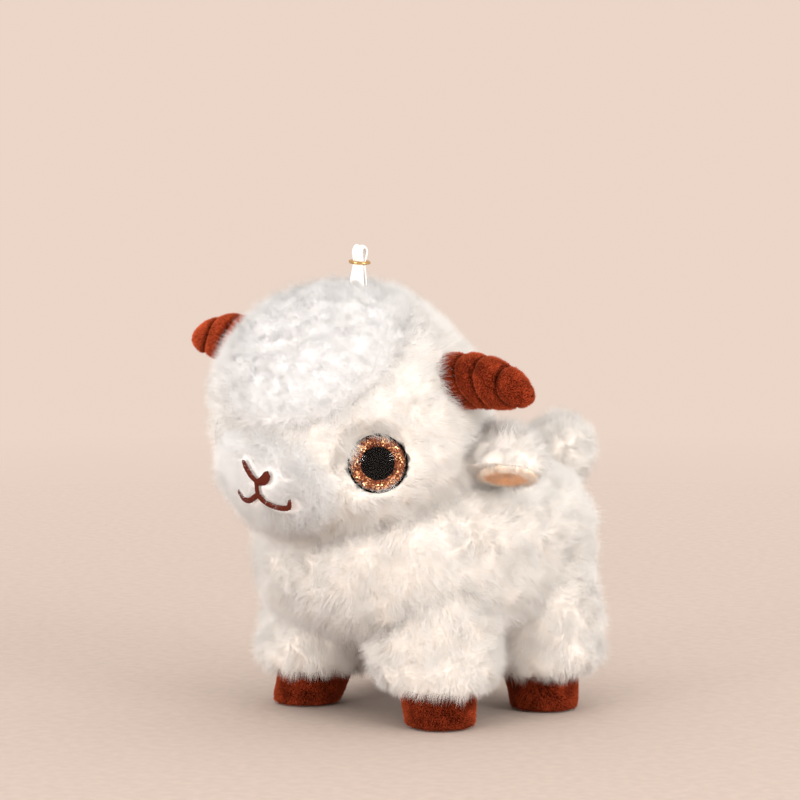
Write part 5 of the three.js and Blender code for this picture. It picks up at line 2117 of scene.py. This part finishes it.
@dataclass
class HangingLoop:
    """A satin ribbon folded double, gathered by a small brass ring."""

    width: float = 5.6
    thickness: float = 0.55
    fold_gap: float = 0.4
    ring_height: float = 10.3
    top: float = 14.4
    eye: float = 1.0
    waist: float = 0.52
    root: float = 1.1
    ring: float = 2.3
    wire: float = 0.36

    def build_ribbon(self, finish: bpy.types.Material) -> bpy.types.Object:
        """Makes the ribbon, whose plies bow a little and pucker under the ring.

        Args:
            finish: The satin.

        Returns:
            The piece.
        """
        half = self.fold_gap / 2 + self.thickness / 2
        crest = self.top - self.eye - self.thickness
        stops = [
            (0.0, -self.root * 0.7), (half * 0.9, 0.2), (half * 1.3, 3.0), (half * 1.35, 6.5), (half * 1.05, 9.2),
            (half, self.ring_height), (self.eye * 0.95, 11.8), (self.eye + 0.2, crest),
            (self.eye * 0.75, crest + 0.95), (0.0, self.top - self.thickness / 2),
        ]
        side = smooth_row(stops, 60)
        path = np.concatenate([side, (side * (-1, 1))[::-1][1:-1]])
        middles = np.stack([np.zeros(len(path)), path[:, 0], path[:, 1]], 1)
        share = np.clip(path[:, 1] / self.ring_height, 0, 1)
        narrow = 1 - smooth_step(0.0, 1.0, share) * (1 - self.waist)
        widths = self.width * narrow * (1 - 0.08 * smooth_step(self.ring_height, self.top, path[:, 1]))
        outline = self._section(24)
        ahead = np.roll(middles, -1, 0) - np.roll(middles, 1, 0)
        across = unit(np.cross(np.array((1.0, 0, 0)), ahead))
        rows, chart = [], []
        length = 0.0
        for ring, middle in enumerate(middles):
            pucker = 0.16 * np.sin(outline[:, 0] * 9) * smooth_step(4.5, 9.5, np.array(path[ring, 1]))
            along_x = outline[:, :1] * widths[ring] / 2
            rows.append(
                middle + along_x * (1, 0, 0) + (outline[:, 1] * self.thickness / 2 + pucker)[:, None] * across[ring]
            )
            chart.append(np.stack([np.full(len(outline), length), along_x[:, 0]], 1))
            length += float(np.linalg.norm(middles[(ring + 1) % len(middles)] - middle))
        local = np.concatenate(rows) + np.array((0.0, 0.5, 27.6))
        count, sides = len(middles), len(outline)
        faces = []
        for ring in range(count):
            low, high = ring * sides, (ring + 1) % count * sides
            for spot in range(sides):
                after = (spot + 1) % sides
                faces.append((low + spot, low + after, high + after, high + spot))
        places = to_frame(HEAD_FRAME, local)
        normals = corner_normals(places, faces)
        if (normals[: sides] * (places[:sides] - places[:sides].mean(0))).sum() < 0:
            faces = [tuple(reversed(face)) for face in faces]
        piece = new_object("ribbon", places, faces)
        store_map(piece, "thread", np.concatenate(chart))
        piece.data.materials.append(finish)
        return fit(piece, "loop", "satin", "hang_loop")

    @staticmethod
    def _section(count: int) -> np.ndarray:
        """A ribbon's flat section with rounded edges: across and through, in shares of half its sizes."""
        turns = 2 * np.pi * np.arange(count) / count
        across, through = np.cos(turns), np.sin(turns)
        return np.stack([np.sign(across) * np.abs(across) ** 0.6, np.sign(through) * np.abs(through) ** 0.35], 1)

    def build_ring(self, finish: bpy.types.Material) -> bpy.types.Object:
        """Makes the brass ring, a little flattened wire.

        Args:
            finish: The brass.

        Returns:
            The piece.
        """
        turns = 2 * np.pi * np.arange(16) / 16
        outline = [(self.ring + self.wire * math.cos(a), self.wire * 1.1 * math.sin(a)) for a in turns]
        local, faces = loop_mesh(outline, 64)
        local = local + np.array((0.0, 0.5, 27.6 + self.ring_height))
        piece = new_object("ring", to_frame(HEAD_FRAME, local), faces)
        piece.data.materials.append(finish)
        return fit(piece, "loop", "brass", "loop_ring")


# Stuffing


@dataclass
class Stuffing:
    """The filling of each part: a lumpy wad a little smaller than the cloth round it."""

    room: float = 1.0
    lump: float = 0.5

    def _wad(
        self, name: str, places: np.ndarray, faces: Sequence, body: str, node: str, finish: bpy.types.Material
    ) -> bpy.types.Object:
        """Makes one wad of a closed form, which gives way to the eyes' posts and washers.

        Args:
            name: The piece's name.
            places: The form's corners.
            faces: Its faces.
            body: What it rides on.
            node: The node that it stands for.
            finish: The fibres.

        Returns:
            The piece.
        """
        out = corner_normals(places, faces)
        places = places - out * (self.room - lumps(places, 6, 70) * self.lump)[:, None]
        skin = Skin.on(name, places, np.asarray(faces, dtype=object), out, 0.0)
        for side in Side:
            skin.sink(eye_frame(side), 8.5, 6.0)
        piece = new_object(name, skin.places, faces)
        piece.data.materials.append(finish)
        return fit(piece, body, "filling", node)

    def build(self, legs: Sequence[Leg], finish: bpy.types.Material) -> list[bpy.types.Object]:
        """Makes every wad.

        Args:
            legs: The legs.
            finish: The fibres.

        Returns:
            The pieces.
        """
        toward, faces = ball(5)
        pieces = [
            self._wad("head_wad", HEAD_FORM.points(toward, 6.0), faces, "head", "head_stuffing", finish),
            self._wad("body_wad", TRUNK_FORM.points(toward, 6.0), faces, "body", "body_stuffing", finish),
            self._wad("tail_wad", TAIL_FORM.points(toward, 4.2), faces, "tail", "tail_stuffing", finish),
        ]
        for leg in legs:
            local = toward * np.array((8.6, 8.6, 12.5)) + np.array((0, 0, 24.0))
            node = f"leg_stuffing_{leg.word}"
            pieces.append(self._wad(f"leg_wad_{leg.word}", leg.stand(local), faces, "body", node, finish))
        for side in Side:
            middles = horn_middles(side, 60)[14:52]
            radii = np.sin(np.linspace(0, np.pi, len(middles))) ** 0.4 * 4.2
            places, rows, _ = tube_mesh(middles, radii, 24)
            node = f"horn_stuffing_{side.word}"
            pieces.append(self._wad(f"horn_wad_{side.word}", places, rows, "head", node, finish))
        return pieces


# The studio and the whole


@dataclass(frozen=True)
class Studio:
    """A pale floor that fades into the backdrop, soft light, and the camera of the main view."""

    azimuth: float = 45.6
    elevation: float = 4.8
    distance: float = 0.8
    aim: Point = (-3.488, -3.19, 76.0)
    lens: float = 146.5
    backdrop: Color = (0.83, 0.67, 0.575)
    ground: Color = (0.5, 0.415, 0.365)
    ambient: Color = (1.0, 0.955, 0.915)
    ambient_strength: float = 1.34

    def set_camera(self) -> None:
        """Makes the camera and sets it."""
        turn, rise = math.radians(self.azimuth), math.radians(self.elevation)
        toward = Vector((math.sin(turn) * math.cos(rise), -math.cos(turn) * math.cos(rise), math.sin(rise)))
        data = bpy.data.cameras.new("camera")
        data.lens = self.lens
        data.sensor_width = 36
        camera = bpy.data.objects.new("camera", data)
        camera.location = Vector(self.aim) * MM + toward * self.distance
        camera.rotation_euler = (-toward).to_track_quat("-Z", "Y").to_euler()
        bpy.context.scene.collection.objects.link(camera)
        bpy.context.scene.camera = camera

    def set_world(self) -> None:
        """Lights the room evenly and shows the backdrop's colour behind the toy."""
        world = bpy.data.worlds.new("room")
        bpy.context.scene.world = world
        world.use_nodes = True
        flow = Flow(world.node_tree)
        seen = world.node_tree.nodes["Background"]
        flow.feed(seen.inputs["Color"], self.backdrop)
        flow.feed(seen.inputs["Strength"], 1.0)
        path = flow.node("ShaderNodeLightPath")
        room = flow.node("ShaderNodeBackground", inputs={0: self.ambient, 1: self.ambient_strength})
        mirrored = flow.out(path, "Is Glossy Ray") + flow.out(path, "Is Transmission Ray")
        share = (flow.out(path, "Is Camera Ray") + mirrored).clamped()
        both = flow.node("ShaderNodeMixShader", inputs={0: share, 1: room.outputs[0], 2: seen.outputs[0]})
        output = world.node_tree.nodes["World Output"]
        flow.feed(output.inputs["Surface"], both.outputs[0])
        bpy.context.scene.view_settings.view_transform = "Standard"

    @staticmethod
    def add_lamp(name: str, azimuth: float, rise: float, size: float, power: float, color: Color) -> None:
        """Adds a square softbox aimed at the toy, 1.4 m from it.

        Args:
            name: The lamp's name.
            azimuth: Where it stands, in degrees from the toy's front towards its left.
            rise: How high it stands, in degrees.
            size: Its side, in metres.
            power: Its power in watts.
            color: Its colour.
        """
        data = bpy.data.lights.new(name, "AREA")
        data.size = size
        data.energy = power
        data.color = color
        lamp = bpy.data.objects.new(name, data)
        turn, lift = math.radians(azimuth), math.radians(rise)
        toward = Vector((math.sin(turn) * math.cos(lift), -math.cos(turn) * math.cos(lift), math.sin(lift)))
        lamp.location = Vector((0, 0, 0.06)) + toward * 1.4
        lamp.rotation_euler = (-toward).to_track_quat("-Z", "Y").to_euler()
        bpy.context.scene.collection.objects.link(lamp)

    def add_floor(self) -> None:
        """Lays the floor, which turns see-through with the distance from the toy."""
        half = 1500.0
        corners = np.array([(-half, -half, 0), (half, -half, 0), (half, half, 0), (-half, half, 0)])
        floor = new_object("floor", corners, [(0, 1, 2, 3)])
        flow, shader = new_finish("floor")
        place = flow.out(flow.node("ShaderNodeTexCoord"), "Object")
        mottle = flow.grain(place, 350.0, 3.0)
        pale = tuple(1.08 * part for part in self.ground)
        flow.feed(shader.inputs["Base Color"], flow.ramp(mottle, [(0.35, self.ground), (0.7, pale)]))
        shader.inputs["Roughness"].default_value = 1.0
        shader.inputs["Specular IOR Level"].default_value = 0.1
        away = flow.out(flow.node("ShaderNodeVectorMath", {"operation": "LENGTH"}, {0: place}), "Value")
        share = ((away - 0.22) / 0.5).clamped()
        clear = flow.node("ShaderNodeBsdfTransparent")
        both = flow.node("ShaderNodeMixShader", inputs={0: share, 1: shader.outputs[0], 2: clear.outputs[0]})
        material = bpy.data.materials["floor"]
        flow.feed(material.node_tree.nodes["Material Output"].inputs["Surface"], both.outputs[0])
        floor.data.materials.append(material)

    def build(self) -> None:
        """Sets up all but the camera."""
        self.set_world()
        self.add_lamp("key", 92.0, 12.0, 0.6, 11.0, (1.0, 0.98, 0.95))
        self.add_lamp("fill", 2.0, 6.0, 0.36, 8.6, (1.0, 0.98, 0.96))
        self.add_floor()


def main() -> None:
    """Builds every piece and reports it."""
    logging.basicConfig(level=logging.INFO, format="%(message)s")
    studio = Studio()
    studio.set_camera()
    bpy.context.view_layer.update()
    cloth = Cloth()
    cream = (1.0, 0.965, 0.925)
    # Each pile's root colour is darker and warmer than its tip: painted shade deep in the pile.
    wool = Wool("long_pile", (0.965, 0.905, 0.845), (0.985, 0.955, 0.925), (0.99, 0.975, 0.955), tint=cream).material()
    curl = Wool("curl_pile", (0.955, 0.94, 0.94), (0.97, 0.963, 0.968), (0.98, 0.975, 0.98), tint=cream).material()
    face = Wool("face_pile", (0.98, 0.955, 0.94), (0.985, 0.97, 0.955), (0.99, 0.98, 0.97)).material()
    velour = Wool(
        "hoof_velour", (0.06, 0.008, 0.003), (0.24, 0.031, 0.01), (0.55, 0.085, 0.03), 1.45, 0.9, 0.2, 0.0,
        sheen_tint=(1.0, 0.3, 0.14),
    ).material()
    lining = Wool(
        "ear_velour", (0.95, 0.86, 0.73), (0.98, 0.9, 0.79), (1.0, 0.93, 0.83), tint=(1.0, 0.5, 0.22)
    ).material()
    dome = ClearDome("clear_dome").material()
    glitter = Glitter("iris_glitter", (0.035, 0.007, 0.003), (0.25, 0.055, 0.016), (0.95, 0.58, 0.28)).material()
    black = Plastic("black_plastic", (0.002, 0.0018, 0.0018), 0.4, 0.02).material()
    thread = Thread("brown_thread", (0.11, 0.013, 0.004)).material()
    satin = Satin("white_satin", (0.93, 0.91, 0.89), (0.78, 0.75, 0.73)).material()
    brass = Brass("ring_brass", (0.8, 0.55, 0.25)).material()
    fibres = Filling("polyester_fibres", (0.93, 0.93, 0.92), (0.74, 0.74, 0.73)).material()
    head, trunk, embroidery = Head(), Trunk(), Embroidery()
    legs = [Leg(front, side) for front in (True, False) for side in Side]
    pieces = [
        head.build_fur(cloth, wool),
        head.build_face(cloth, face, embroidery),
        head.build_forelock(cloth, curl),
        trunk.build_fur(cloth, wool, legs),
        trunk.build_tail(cloth, wool),
    ]
    for leg in legs:
        pieces += [leg.build_fur(cloth, wool), leg.build_hoof(cloth, velour)]
    for side in Side:
        ear, eye = Ear(side), Eye(side)
        pieces += [ear.build_back(cloth, wool), ear.build_lining(cloth, lining), Horn(side).build(cloth, velour)]
        pieces += [eye.build_lens(dome), eye.build_iris(glitter), eye.build_pupil(black)]
        pieces += [eye.build_cup(black), eye.build_washer(black)]
    cloth.done()
    loop = HangingLoop()
    pieces += [embroidery.build_nose(thread), embroidery.build_mouth(thread)]
    embroidery.done()
    pieces += [loop.build_ribbon(satin), loop.build_ring(brass)]
    pieces += Stuffing().build(legs, fibres)
    studio.build()
    for piece in pieces:
        log.info("%s: %d triangles", piece.name, sum(len(face.vertices) - 2 for face in piece.data.polygons))


if __name__ == "__main__":
    main()
